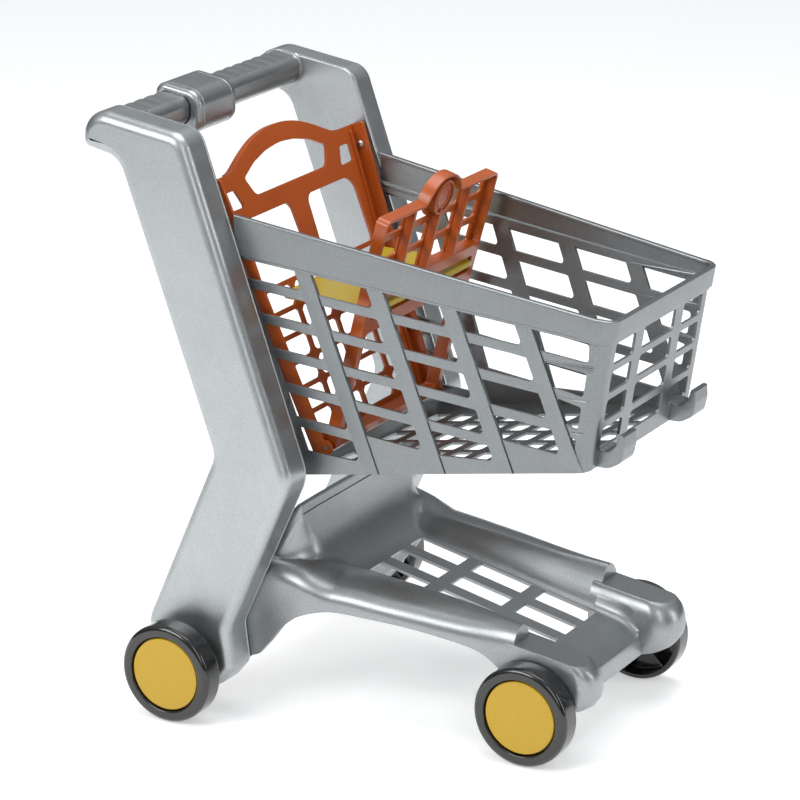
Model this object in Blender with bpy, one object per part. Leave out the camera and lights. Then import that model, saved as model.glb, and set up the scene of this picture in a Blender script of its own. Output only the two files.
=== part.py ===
"""Child's toy shopping cart: moulded uprights, basket with folding doll seat, base tray, four wheels.

Frame: +X is the rolling direction, +Y the cart's left side, +Z up, and the floor is Z = 0.
The origin is the centre of the cart's footprint box.  Lengths are metres.
Profiles are written in millimetres from a point on the floor under the rear axle,
and mm() turns them into metres in the cart's own frame.
"""
import math

import bmesh
import bpy
from mathutils import Matrix, Vector

# ---------------------------------------------------------------- driving dimensions (mm)
REAR_AXLE_X = -152.0          # rear axle in the cart's frame
WHEELBASE = 322.0
WHEEL_R = 46.0
WHEEL_W = 23.0
HUB_CAP_R = 34.0
AXLE_R = 3.5
AXLE_Z = WHEEL_R
REAR_WHEEL_Y = 186.0          # middle of the tread
FRONT_WHEEL_Y = 113.0

UPRIGHT_IN_Y = 126.5          # inner face of an upright
UPRIGHT_OUT_Y = 160.5
UPRIGHT_WALL = 2.6
LEAN = 0.349                  # forward run of the uprights for each unit of drop

HANDLE_X, HANDLE_Z = -64.5, 531.0        # middle of the bar's bore
HANDLE_BORE_R = 11.5

GAP = 0.35                    # between pieces that touch
WALL = 2.8                    # basket wall

# Basket planes.  Side wall: |y| = SIDE_Y + SIDE_DX (x - 30) + SIDE_DZ (z - 427).
SIDE_Y, SIDE_DX, SIDE_DZ = 123.9, -0.0605, 0.025
RIM_PROUD = 3.2
RIM_TOP_REAR_Z, RIM_TOP_SLOPE = 463.6, -0.142      # at x = 30
RIM_LOW_REAR_Z, RIM_LOW_SLOPE = 427.7, -0.0956     # at x = 30
FLOOR_REAR_Z, FLOOR_SLOPE = 227.0, 0.172           # underside at x = 93
FRONT_TOP_X, FRONT_TOP_Z, FRONT_SLOPE = 391.5, 394.0, 0.155
BAR_SLOPE = 0.365
BAR_PITCH = 67.8
BAR_WIDTH = 16.5
FIRST_BAR_X = 110.0           # front edge of the first bar just under the rim
ROW_PITCH = 29.7
ROW_HOLE = 20.9
BAND_H = 14.0                 # solid band along the foot of the side walls
POST_W = 17.0                 # corner posts at the front

# Doll seat.  Both panels are hinged at SEAT_PIVOT, seen from the side.
SEAT_PIVOT_X, SEAT_PIVOT_Z = 113.0, 252.0
BACK_LEAN = 0.385             # run of the back panel for each unit of rise
FRONT_LEAN = 0.272            # the same for the front panel, the other way
PAN_PIVOT_H, PAN_PIVOT_OUT = 143.5, -3.0           # the pan's trunnions, in the front panel's frame
PAN_REAR_X = 60.0
PAN_TOP_Z, PAN_T = 384.5, 5.5
PAN_HALF = 86.0
ROD_R = 2.0

SCREW_HEAD_R = 3.6
SCREW_HEAD_H = 2.0
SCREW_SHANK_R = 1.6

SILVER = (0.30, 0.32, 0.335)
ORANGE = (0.42, 0.085, 0.018)
YELLOW = (0.52, 0.33, 0.03)
BLACK = (0.008, 0.008, 0.009)
STEEL = (0.45, 0.45, 0.46)


# ---------------------------------------------------------------- small tools
def mm(x, y, z):
    """Millimetres from the rear axle's floor point to metres in the cart's frame."""
    return Vector(((x + REAR_AXLE_X) / 1000.0, y / 1000.0, z / 1000.0))


def material(name, colour, roughness, metallic=0.0):
    made = bpy.data.materials.get(name)
    if made is None:
        made = bpy.data.materials.new(name)
        made.use_nodes = True
        shader = made.node_tree.nodes["Principled BSDF"]
        shader.inputs["Base Color"].default_value = (*colour, 1.0)
        shader.inputs["Roughness"].default_value = roughness
        shader.inputs["Metallic"].default_value = metallic
    return made


def new_object(name, build, mat=None):
    """An object from a bmesh that build() fills, with its faces turned outward."""
    bm = bmesh.new()
    build(bm)
    bmesh.ops.recalc_face_normals(bm, faces=bm.faces)
    mesh = bpy.data.meshes.new(name)
    bm.to_mesh(mesh)
    bm.free()
    obj = bpy.data.objects.new(name, mesh)
    bpy.context.scene.collection.objects.link(obj)
    if mat is not None:
        mesh.materials.append(mat)
    return obj


def loft(bm, rings, closed=False):
    """Skin a list of rings of Vectors that all have the same count, and cap the ends."""
    loops = [[bm.verts.new(p) for p in ring] for ring in rings]
    count = len(loops[0])
    pairs = list(zip(loops, loops[1:]))
    if closed:
        pairs.append((loops[-1], loops[0]))
    for a, b in pairs:
        for i in range(count):
            j = (i + 1) % count
            bm.faces.new((a[i], a[j], b[j], b[i]))
    if not closed:
        bm.faces.new(loops[0][::-1])
        bm.faces.new(loops[-1])


def filleted(corners, steps=4):
    """Outline points from (u, v, radius) corners: each corner with a radius becomes an arc."""
    points = []
    n = len(corners)
    for i, (u, v, radius) in enumerate(corners):
        here = Vector((u, v))
        if radius <= 0:
            points.append(here)
            continue
        to_prev = (Vector(corners[i - 1][:2]) - here).normalized()
        to_next = (Vector(corners[(i + 1) % n][:2]) - here).normalized()
        half = math.acos(max(-1.0, min(1.0, to_prev.dot(to_next)))) / 2.0
        reach = radius / math.tan(half)
        centre = here + (to_prev + to_next).normalized() * (radius / math.sin(half))
        start = here + to_prev * reach - centre
        end = here + to_next * reach - centre
        a0 = math.atan2(start.y, start.x)
        sweep = math.atan2(end.y, end.x) - a0
        sweep = (sweep + math.pi) % (2.0 * math.pi) - math.pi
        for k in range(steps + 1):
            a = a0 + sweep * k / steps
            points.append(centre + Vector((math.cos(a), math.sin(a))) * radius)
    return points


def inset(points, distance):
    """A closed outline moved inward by distance, given anticlockwise or clockwise."""
    area = sum(p.cross(q) for p, q in zip(points, points[1:] + points[:1]))
    side = 1.0 if area > 0 else -1.0
    out = []
    n = len(points)
    for i, p in enumerate(points):
        a = (p - points[i - 1]).normalized()
        b = (points[(i + 1) % n] - p).normalized()
        na = Vector((-a.y, a.x)) * side
        nb = Vector((-b.y, b.x)) * side
        mean = (na + nb).normalized()
        out.append(p + mean * (distance / max(0.35, mean.dot(na))))
    return out


def plate_xz(name, points, y0, y1, mat=None):
    """A flat plate: an outline in X and Z (mm), between two values of Y."""
    def build(bm):
        loft(bm, [[mm(p.x, y, p.y) for p in points] for y in (y0, y1)])
    return new_object(name, build, mat)


def hexa(name, low, high, mat=None):
    """A block from four lower and four upper corners (mm), both in the same turning order."""
    def build(bm):
        loft(bm, [[mm(*p) for p in low], [mm(*p) for p in high]])
    return new_object(name, build, mat)


def turned(name, profile, x, z, side=1.0, mat=None, segments=32):
    """A solid turned about a Y axis at (x, z), from a closed profile of (radius, y) in mm."""
    def build(bm):
        rings = []
        for k in range(segments):
            a = 2.0 * math.pi * k / segments
            rings.append([mm(x + r * math.cos(a), y * side, z + r * math.sin(a)) for r, y in profile])
        loft(bm, rings, closed=True)
    return new_object(name, build, mat)


def rod(name, start, end, radius, mat=None, segments=16):
    """A round bar between two points (mm)."""
    a, b = Vector(start), Vector(end)
    axis = (b - a).normalized()
    across = axis.orthogonal().normalized()
    third = axis.cross(across)

    def build(bm):
        rings = []
        for p in (a, b):
            ring = []
            for k in range(segments):
                t = 2.0 * math.pi * k / segments
                q = p + (across * math.cos(t) + third * math.sin(t)) * radius
                ring.append(mm(*q))
            rings.append(ring)
        loft(bm, rings)
    return new_object(name, build, mat)


def combine(target, tools, operation):
    """Apply one exact Boolean of target with each tool in turn, and delete the tools."""
    for tool in tools:
        step = target.modifiers.new("bool", "BOOLEAN")
        step.operation = operation
        step.solver = "EXACT"
        step.use_self = False
        step.object = tool
        graph = bpy.context.evaluated_depsgraph_get()
        done = bpy.data.meshes.new_from_object(target.evaluated_get(graph))
        target.modifiers.remove(step)
        old = target.data
        target.data = done
        done.name = old.name
        bpy.data.meshes.remove(old)
        bpy.data.objects.remove(tool)
    return target


def union(target, *tools):
    return combine(target, tools, "UNION")


def cut(target, *tools):
    return combine(target, tools, "DIFFERENCE")


def keep_common(target, *tools):
    return combine(target, tools, "INTERSECT")


def one_mesh(name, objects):
    """Join separate solids that don't meet into one object, for use as one cutter."""
    def build(bm):
        for obj in objects:
            bm.from_mesh(obj.data)
    joined = new_object(name, build)
    for obj in objects:
        bpy.data.objects.remove(obj)
    return joined


def bevel_edges(obj, chosen, width, segments):
    """Round the edges for which chosen(a, b) is true, with a and b in mm from the rear axle."""
    bm = bmesh.new()
    bm.from_mesh(obj.data)
    back = Vector((-REAR_AXLE_X, 0.0, 0.0))
    edges = [e for e in bm.edges
             if chosen(e.verts[0].co * 1000.0 + back, e.verts[1].co * 1000.0 + back)]
    bmesh.ops.bevel(bm, geom=edges, offset=width / 1000.0, segments=segments, profile=0.5,
                    affect="EDGES", clamp_overlap=True)
    bm.to_mesh(obj.data)
    bm.free()
    return obj


def shade(obj, angle=35.0):
    obj.data.shade_smooth()
    obj.data.set_sharp_from_angle(angle=math.radians(angle))


# ---------------------------------------------------------------- uprights
def front_line_x(z):
    """Front edge of an upright above its knee."""
    return 31.0 + LEAN * (464.0 - z)


def upright_corners():
    return [
        (-98.9, 550.7, 24), (6.0, 535.5, 20), (112.0, 234.0, 34), (43.5, 84.0, 14), (48.0, 46.0, 12),
        (30.0, 24.5, 16), (-22.0, 24.5, 22), (-45.0, 76.0, 22), (31.0, 247.5, 26), (-62.8, 506.5, 22),
        (-98.9, 513.8, 8)]


UPRIGHT_SCREWS = [(-86.5, 524.0), (14.0, 425.0), (72.0, 262.0), (-5.0, 118.0)]
TRAY_SCREWS = [(62.0, 150.0), (38.0, 92.0)]
BASKET_SCREWS = [(37.0, 415.0), (80.0, 290.0)]
SEAT_SCREW_HIGH, SEAT_SCREW_LOW = (236.0, -7.6), (60.0, -7.6)      # along and out of the back panel


def build_upright(side_name, side, silver, steel):
    outline = filleted(upright_corners(), steps=3)
    cover_t = UPRIGHT_WALL
    seam = UPRIGHT_IN_Y + cover_t + GAP

    def shell(bm):
        edge = 8.0
        rings = [[mm(p.x, side * seam, p.y) for p in outline]]
        for k in range(4):
            a = math.pi / 2.0 * k / 3.0
            ring = inset(outline, edge * (1.0 - math.cos(a)))
            y = UPRIGHT_OUT_Y - edge + edge * math.sin(a)
            rings.append([mm(p.x, side * y, p.y) for p in ring])
        loft(bm, rings)
    body = new_object("upright_shell_" + side_name, shell, silver)
    hollow = plate_xz("hollow", inset(outline, UPRIGHT_WALL), side * (seam - 5.0),
                      side * (UPRIGHT_OUT_Y - UPRIGHT_WALL))
    bevel_edges(hollow, lambda a, b: abs(abs(a.y) - (UPRIGHT_OUT_Y - UPRIGHT_WALL)) < 0.1
                and abs(abs(b.y) - (UPRIGHT_OUT_Y - UPRIGHT_WALL)) < 0.1, 6.0, 2)
    cut(body, hollow)
    fixings = UPRIGHT_SCREWS + TRAY_SCREWS + BASKET_SCREWS + [seat_point(*SEAT_SCREW_HIGH)]
    bosses = [rod("boss", (x, side * (seam + 0.4), z), (x, side * (UPRIGHT_OUT_Y - 1.5), z), 4.0, segments=8)
              for x, z in fixings]
    hub = rod("hub", (0.0, side * (seam + 0.2), AXLE_Z), (0.0, side * (UPRIGHT_OUT_Y + 12.5), AXLE_Z), 11.0,
              segments=20)
    union(body, *bosses, hub)
    bores = [rod("bore", (x, side * (seam - 4.0), z), (x, side * (seam + 18.0), z), SCREW_SHANK_R + 0.2,
                 segments=8) for x, z in fixings]
    bores.append(rod("bore", (0.0, side * 100.0, AXLE_Z), (0.0, side * 190.0, AXLE_Z), AXLE_R + 0.3, segments=16))
    cut(body, one_mesh("bores", bores))

    cover = plate_xz("upright_cover_" + side_name, outline, side * UPRIGHT_IN_Y,
                     side * (UPRIGHT_IN_Y + cover_t), silver)
    union(cover, rod("spigot", (HANDLE_X, side * (UPRIGHT_IN_Y - 8.0), HANDLE_Z),
                     (HANDLE_X, side * (UPRIGHT_IN_Y + 1.3), HANDLE_Z), HANDLE_BORE_R - 2.2, segments=16))
    holes = [rod("hole", (x, side * 100.0, z), (x, side * 140.0, z), SCREW_SHANK_R + 0.4, segments=8)
             for x, z in fixings]
    holes.append(rod("hole", (0.0, side * 100.0, AXLE_Z), (0.0, side * 140.0, AXLE_Z), AXLE_R + 0.3, segments=16))
    cut(cover, one_mesh("holes", holes))

    screws = screw_set("upright_screw", side_name, side, UPRIGHT_SCREWS, lambda x, z: UPRIGHT_IN_Y, 12.0, steel)
    return [body, cover] + screws


def screw_set(stem, side_name, side, places, head_y, length, steel):
    """One screw at each (x, z), its head's underside at |y| = head_y(x, z)."""
    return [make_screw("%s_%s_%d" % (stem, side_name, k), place, side * head_y(*place), side, length, steel)
            for k, place in enumerate(places, start=1)]


def make_screw(name, at, head_y, direction, length, steel):
    """A pan-head screw along Y: its head's underside is at head_y and its shank runs in `direction`."""
    x, z = at
    near = head_y - direction * GAP
    profile = [(SCREW_HEAD_R * 0.7, near - direction * SCREW_HEAD_H), (SCREW_HEAD_R, near - direction * 0.8),
               (SCREW_HEAD_R, near), (SCREW_SHANK_R, near), (SCREW_SHANK_R, near + direction * length)]

    def build(bm):
        segments = 8
        rings = [[mm(x + r * math.cos(2 * math.pi * k / segments), y, z + r * math.sin(2 * math.pi * k / segments))
                  for k in range(segments)] for r, y in profile]
        loft(bm, rings)
    return new_object(name, build, steel)


# ---------------------------------------------------------------- handle
def handle_section():
    """The bar's outline: its top runs on from the uprights' tops."""
    return filleted([(-79.5, 516.5, 12), (-49.5, 516.5, 12), (-49.5, 542.0, 9), (-79.5, 547.2, 4)], steps=3)


def build_handle(silver, steel):
    outer = handle_section()
    middle = Vector((HANDLE_X, HANDLE_Z))
    bore = [middle + (p - middle).normalized() * HANDLE_BORE_R for p in outer]

    def bar(bm):
        reach = UPRIGHT_IN_Y - GAP
        ends = ((outer, -reach), (outer, reach), (bore, reach), (bore, -reach))
        loft(bm, [[mm(p.x, y, p.y) for p in ring] for ring, y in ends], closed=True)
    handle = new_object("handle_bar", bar, silver)

    sleeve_y0, sleeve_y1 = -62.0, 1.0
    section = filleted([(-87.0, 508.5, 10), (-39.0, 508.5, 14), (-39.0, 547.6, 15), (-87.0, 554.6, 10)], steps=3)

    def sleeve(bm):
        rings = []
        for y, shrink in ((sleeve_y0, 4.0), (sleeve_y0 + 1.5, 1.4), (sleeve_y0 + 4.5, 0.0),
                          (sleeve_y1 - 4.5, 0.0), (sleeve_y1 - 1.5, 1.4), (sleeve_y1, 4.0)):
            rings.append([mm(p.x, y, p.y) for p in inset(section, shrink)])
        loft(bm, rings)
    block = new_object("handle_sleeve", sleeve, silver)
    cut(block, plate_xz("bore", inset(outer, -GAP), -100.0, 60.0))
    return [handle, block]


# ---------------------------------------------------------------- basket
def side_y(x, z):
    return SIDE_Y + SIDE_DX * (x - 30.0) + SIDE_DZ * (z - 427.0)


def front_x(z):
    return FRONT_TOP_X + FRONT_SLOPE * (z - FRONT_TOP_Z)


def floor_z(x):
    return FLOOR_REAR_Z + FLOOR_SLOPE * (x - 93.0)


def rim_top_z(x):
    return RIM_TOP_REAR_Z + RIM_TOP_SLOPE * (x - 30.0)


def rim_low_z(x):
    return RIM_LOW_REAR_Z + RIM_LOW_SLOPE * (x - 30.0)


def basket_block(name, grow, x_behind, top, bottom, mat=None):
    """The basket's body as a six-sided block, each wall moved out by grow.

    Its rear end is the uprights' front line moved back by x_behind.
    top and bottom give z from x."""
    def corner(rear, upper, sign):
        z = 320.0
        x = 200.0
        for _ in range(12):
            x = front_line_x(z) - x_behind if rear else front_x(z) + grow
            z = top(x) if upper else bottom(x) - grow
        return (x, sign * (side_y(x, z) + grow), z)
    low = [corner(True, False, -1), corner(False, False, -1), corner(False, False, 1), corner(True, False, 1)]
    high = [corner(True, True, -1), corner(False, True, -1), corner(False, True, 1), corner(True, True, 1)]
    return hexa(name, low, high, mat)


def is_front_post(a, b):
    return min(a.x, b.x) > 330.0 and abs(a.y - b.y) < 20.0 and abs(a.z - b.z) > 15.0


def side_holes():
    """Slanted openings between the side bars: prisms right across the basket."""
    datum_z = rim_low_z(FIRST_BAR_X)
    rows = 6
    front_edges = [FIRST_BAR_X + BAR_PITCH * k for k in range(-1, 4)]
    cutters = []
    for column, bar_x in enumerate(front_edges):
        rear = bar_x + 1.0
        front = bar_x + BAR_PITCH - BAR_WIDTH
        for row in range(rows):
            drop = (ROW_PITCH * row + (0.8 if row == 0 else 0.0), ROW_PITCH * row + ROW_HOLE)
            corners = []
            for x_top, level in ((rear, drop[1]), (front, drop[1]), (front, drop[0]), (rear, drop[0])):
                x, z = x_top, datum_z
                for _ in range(8):
                    z = max(rim_low_z(x) - level, floor_z(x) + BAND_H)
                    x = x_top + BAR_SLOPE * (datum_z - z)
                if column == len(front_edges) - 1 and x_top == front:
                    x = min(x, front_x(z) - POST_W)
                corners.append(Vector((x, z)))
            tall = min((corners[3] - corners[0]).length, (corners[2] - corners[1]).length)
            wide = min(corners[1].x - corners[0].x, corners[2].x - corners[3].x)
            if tall > 4.0 and wide > 8.0:
                cutters.append(plate_xz("hole", corners, -150.0, 150.0))
    return cutters


def front_holes():
    cutters = []
    columns = ((-84.0, -46.5), (-31.0, 31.0), (46.5, 84.0))
    for a, b in columns:
        for row in range(4):
            z1 = 388.5 - 25.9 * row
            z0 = z1 - 19.2
            low = [(330.0, a, z0), (420.0, a, z0), (420.0, b, z0), (330.0, b, z0)]
            high = [(330.0, a, z1), (420.0, a, z1), (420.0, b, z1), (330.0, b, z1)]
            cutters.append(hexa("hole", low, high))
    return cutters


def floor_holes():
    cutters = []
    skew = 0.35
    for row in range(5):
        x0 = 126.0 + 46.0 * row
        x1 = x0 + 34.0
        for column in range(4):
            y0 = -72.0 + 37.0 * column
            y1 = y0 + 28.0
            corners = [(x0 + skew * y0, y0), (x1 + skew * y0, y0), (x1 + skew * y1, y1), (x0 + skew * y1, y1)]
            low = [(x, y, floor_z(x) - 8.0) for x, y in corners]
            high = [(x, y, floor_z(x) + 6.0) for x, y in corners]
            cutters.append(hexa("hole", low, high))
    return cutters


def hook_outline():
    return filleted([(366.0, 287.0, 0), (366.0, 277.0, 0), (388.0, 276.0, 14), (401.0, 289.0, 10), (401.5, 306.5, 1.5),
                     (398.0, 306.5, 1.5), (396.0, 291.0, 8), (386.0, 282.0, 10), (370.0, 283.5, 0),
                     (371.5, 292.0, 0)], steps=3)


def build_basket(silver):
    basket = basket_block("basket", 0.0, 18.0, lambda x: rim_low_z(x) + 6.0, floor_z, silver)
    bevel_edges(basket, is_front_post, 15.0, 3)
    inner = basket_block("inner", -WALL, 60.0, lambda x: rim_low_z(x) + 80.0, floor_z)
    bevel_edges(inner, is_front_post, 12.5, 3)
    band = basket_block("band", RIM_PROUD, -1.0, rim_top_z, lambda x: rim_low_z(x) + RIM_PROUD)
    bevel_edges(band, is_front_post, 18.0, 3)
    band_inner = basket_block("band_inner", RIM_PROUD - WALL, 60.0, lambda x: rim_top_z(x) + 30.0,
                              lambda x: rim_low_z(x) + RIM_PROUD + 2.5)
    bevel_edges(band_inner, is_front_post, 15.5, 3)
    cut(basket, one_mesh("side_holes", side_holes()))
    cut(band, band_inner)
    union(basket, band)
    cut(basket, inner)
    cut(basket, one_mesh("front_holes", front_holes()), one_mesh("floor_holes", floor_holes()))
    for sign in (-1, 1):
        hook = plate_xz("hook", hook_outline(), sign * 58.0, sign * 83.0)
        union(basket, hook)
        for x, z in BASKET_SCREWS:
            union(basket, rod("boss", (x, sign * (side_y(x, z) - 1.4), z), (x, sign * (UPRIGHT_IN_Y - GAP), z), 5.0,
                              segments=10))
            cut(basket, rod("bore", (x, sign * 90.0, z), (x, sign * 130.0, z), SCREW_SHANK_R + 0.3, segments=8))
        x, z = seat_point(*SEAT_SCREW_LOW)
        union(basket, rod("boss", (x, sign * (side_y(x, z) - 1.4), z), (x, sign * (side_y(x, z) + 6.0), z), 4.2,
                          segments=10))
        cut(basket, rod("bore", (x, sign * 90.0, z), (x, sign * (side_y(x, z) + 4.5), z), SCREW_SHANK_R + 0.3,
                        segments=8))
    return [basket]


# ---------------------------------------------------------------- doll seat
def panel_frame(lean):
    """Matrix from panel space (across, along, out of the panel; mm) to the cart's frame."""
    up = Vector((lean, 0.0, 1.0)).normalized()
    across = Vector((0.0, 1.0, 0.0))
    out = across.cross(up)
    turn = Matrix((across, up, out)).transposed().to_4x4()
    scale = Matrix.Scale(0.001, 4)
    return Matrix.Translation(mm(SEAT_PIVOT_X, 0.0, SEAT_PIVOT_Z)) @ turn @ scale


def panel_prism(name, points, depth0, depth1, frame, mat=None):
    def build(bm):
        loft(bm, [[frame @ Vector((p[0], p[1], d)) for p in points] for d in (depth0, depth1)])
    return new_object(name, build, mat)


def mirrored(points):
    """The same outline on the other side, in the opposite turning order."""
    return [(-p[0], p[1]) for p in reversed(points)]


def seat_point(along, out):
    """A point of the back panel as (x, z) in mm from the rear axle."""
    at = panel_frame(-BACK_LEAN) @ Vector((0.0, along, out)) * 1000.0
    return at.x - REAR_AXLE_X, at.z


def seat_back_half_width(h):
    return 99.5 + 0.092 * h


BACK_REAR, BACK_FACE = -15.0, -12.0                # depth of the back panel's plate
BACK_TOP_H = 255.0
FLANGE_T = 3.0


def build_seat_back(orange):
    frame = panel_frame(-BACK_LEAN)
    half_arch = [(84.0, 258.0), (58.0, 270.0), (38.0, 277.5), (18.0, 281.8)]
    arch = half_arch + [(0.0, 283.0)] + mirrored(half_arch)
    low_h = -8.0
    low_w, high_w = seat_back_half_width(low_h), seat_back_half_width(BACK_TOP_H)
    right = [(low_w, low_h), (high_w, BACK_TOP_H), (92.0, 256.5)]
    back = panel_prism("seat_back", right + arch + mirrored(right), BACK_REAR, 0.0, frame, orange)
    pocket = [(low_w - FLANGE_T - 0.092 * 20.0, low_h - 20.0), (high_w - FLANGE_T + 0.092 * 45.0, BACK_TOP_H + 45.0)]
    cut(back, panel_prism("pocket", pocket + mirrored(pocket), BACK_FACE, 5.0, frame))

    half_hand = [(60.0, 229.5, 9), (69.5, 247.5, 3), (40.0, 260.5, 40)]
    hand = filleted(half_hand + [(0.0, 266.0, 90)] + [(-y, h, r) for y, h, r in reversed(half_hand)], steps=2)
    small = filleted([(82.5, 224.0, 2), (105.0, 224.5, 2), (106.0, 241.0, 2), (89.5, 241.0, 2)], steps=1)
    big = filleted([(11.0, 149.5, 4), (94.0, 149.5, 4), (94.5, 212.5, 14), (14.5, 212.5, 8)], steps=2)
    windows = [hand, small, mirrored(small), big, mirrored(big)]
    rung_pitch, rung, stem_y, stem = 23.0, 5.0, 51.0, 6.5
    for row in range(6):
        h0 = 11.5 + rung_pitch * row
        h1 = h0 + rung_pitch - rung
        w = seat_back_half_width(h0) - 15.0
        for a, b in ((stem / 2.0, stem_y - stem / 2.0), (stem_y + stem / 2.0, w)):
            cell = [(a, h0 + 4.0), (a + 4.0, h0), (b - 4.0, h0), (b, h0 + 4.0), (b, h1 - 4.0), (b - 4.0, h1),
                    (a + 4.0, h1), (a, h1 - 4.0)]
            windows += [cell, mirrored(cell)]
    cut(back, one_mesh("windows", [panel_prism("window", w, BACK_REAR - 3.0, BACK_FACE + 3.0, frame)
                                   for w in windows]))

    for sign in (1.0, -1.0):
        low_w = seat_back_half_width(0.0)
        union(back, pivot_rod("lug", frame, 0.0, -2.0, sign * (low_w - 2.7), sign * (low_w - 0.9), 6.5))
        cut(back, pivot_rod("bore", frame, 0.0, 0.0, sign * 90.0, sign * 110.0, ROD_R + 0.3))
        for place, reach in ((SEAT_SCREW_HIGH, lambda x, z: UPRIGHT_IN_Y),
                             (SEAT_SCREW_LOW, lambda x, z: side_y(x, z) - WALL)):
            w = seat_back_half_width(place[0])
            end = reach(*seat_point(*place)) - GAP
            union(back, pivot_rod("spacer", frame, *place, sign * (w - 1.2), sign * end, 3.0, segments=10))
            cut(back, pivot_rod("bore", frame, *place, sign * 90.0, sign * 130.0, SCREW_SHANK_R + 0.3, segments=8))
    return back


def build_seat_screws(steel):
    screws = []
    for side_name, side in (("right", -1.0), ("left", 1.0)):
        for k, place in enumerate((SEAT_SCREW_HIGH, SEAT_SCREW_LOW), start=1):
            w = seat_back_half_width(place[0]) - FLANGE_T
            screws.append(make_screw("seat_screw_%s_%d" % (side_name, k), seat_point(*place), side * (w - 0.6), side,
                                     14.0 if k == 1 else 12.0, steel))
    return screws


FRONT_DEPTH = 6.0             # the front panel runs from -6 to +6 about its own middle plane
FRONT_TOP_H = 225.0
STILE = 9.0
GRID_H = ((152.0, 174.2), (177.8, 200.2), (203.8, 221.0))
SLOT_H = (127.0, 143.0)
LEG_H = (7.0, 113.0)


def seat_front_half_width(h):
    return 93.5 + 0.028 * h


def build_seat_front(orange):
    frame = panel_frame(FRONT_LEAN)
    d = FRONT_DEPTH
    hump = [(math.cos(a) * 31.0, FRONT_TOP_H - 6.0 + math.sin(a) * 25.0)
            for a in [math.radians(15.0 + 15.0 * k) for k in range(11)]]
    right = [(seat_front_half_width(-1.0), -1.0), (seat_front_half_width(FRONT_TOP_H), FRONT_TOP_H)]
    panel = panel_prism("seat_front", right + hump + mirrored(right), -d, d, frame, orange)
    cells = []
    for h0, h1 in GRID_H:
        for y0, y1 in ((1.8, 46.7), (50.3, 0.0)):
            outer = [y1 or seat_front_half_width(h) - STILE for h in (h0, h1)]
            cell = [(y0, h0), (outer[0], h0), (outer[1], h1), (y0, h1)]
            cells += [cell, mirrored(cell)]
    for h0, h1 in (SLOT_H, LEG_H):
        right = [(seat_front_half_width(h) - STILE, h) for h in (h0, h1)]
        cells.append(right + mirrored(right))
    cut(panel, one_mesh("cells", [panel_prism("cell", c, -d - 2.0, d + 2.0, frame) for c in cells]))
    badge = [(math.cos(a) * 15.0, 225.0 + math.sin(a) * 15.0) for a in [2.0 * math.pi * k / 20 for k in range(20)]]
    union(panel, panel_prism("badge", badge, -d + 1.0, d - 0.5, frame))
    union(panel, pivot_rod("barrel", frame, 0.0, 0.0, -92.5, 92.5, 5.0, segments=16))
    cut(panel, pivot_rod("bore", frame, 0.0, 0.0, -130.0, 130.0, ROD_R + 0.3))
    for sign in (1.0, -1.0):
        inner = seat_front_half_width(PAN_PIVOT_H) - STILE
        notch = [(79.0, PAN_PIVOT_H - 8.0), (inner + 0.1, PAN_PIVOT_H - 8.0), (inner + 0.1, PAN_PIVOT_H + 5.5),
                 (79.0, PAN_PIVOT_H + 5.5)]
        if sign < 0:
            notch = mirrored(notch)
        cut(panel, panel_prism("notch", notch, -d - 1.0, PAN_PIVOT_OUT + 5.0, frame),
            pivot_rod("socket", frame, PAN_PIVOT_H, PAN_PIVOT_OUT, sign * 80.0, sign * (inner + 5.5), 2.4))
    return panel


def pan_pivot():
    """Where the seat pan's trunnions lie, in mm from the rear axle."""
    at = panel_frame(FRONT_LEAN) @ Vector((0.0, PAN_PIVOT_H, PAN_PIVOT_OUT)) * 1000.0
    return at.x - REAR_AXLE_X, at.z


def build_seat_pan(yellow):
    x0, z0 = pan_pivot()
    inner = seat_front_half_width(PAN_PIVOT_H) - STILE
    tip = x0 + 9.5
    outline = filleted([(PAN_REAR_X, -PAN_HALF, 6), (tip, -PAN_HALF, 1.5), (tip, PAN_HALF, 1.5),
                        (PAN_REAR_X, PAN_HALF, 6)], steps=2)

    def plate(bm):
        loft(bm, [[mm(p.x, p.y, z) for p in outline] for z in (PAN_TOP_Z - PAN_T, PAN_TOP_Z)])
    pan = new_object("seat_pan", plate, yellow)
    for sign in (1.0, -1.0):
        ear = filleted([(x0 - 4.5, PAN_TOP_Z - 2.0, 0), (x0 + 4.5, PAN_TOP_Z - 2.0, 0), (x0 + 4.5, z0 + 4.5, 4.4),
                        (x0 - 4.5, z0 + 4.5, 4.4)], steps=3)
        union(pan, plate_xz("ear", ear, sign * (inner - 6.0), sign * (inner - 0.5)),
              rod("trunnion", (x0, sign * (inner - 3.0), z0), (x0, sign * (inner + 5.0), z0), ROD_R, segments=12))
    return pan


def build_seat_rod(steel):
    frame = panel_frame(-BACK_LEAN)
    reach = seat_back_half_width(0.0) + 0.4
    return pivot_rod("seat_hinge_rod", frame, 0.0, 0.0, -reach, reach, ROD_R, steel)


def pivot_rod(name, frame, along, out, y0, y1, radius, mat=None, segments=12):
    ends = [frame @ Vector((y, along, out)) * 1000.0 - Vector((REAR_AXLE_X, 0.0, 0.0)) for y in (y0, y1)]
    return rod(name, ends[0], ends[1], radius, mat, segments)


# ---------------------------------------------------------------- base tray
TRAY_T = 3.0
LEG_T = 5.0                   # side plates of the tray's rear legs
WINDOW_X = ((125.5, 177.5), (190.8, 243.2), (256.0, 308.5))
WINDOW_Y = ((-48.0, -25.5), (-11.2, 11.2), (25.5, 48.0))
RAIL_HALF = 13.0


def rail_y(x):
    """Middle of a side rail."""
    return max(85.5, 108.5 - 0.112 * (x - 120.0))


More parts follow.
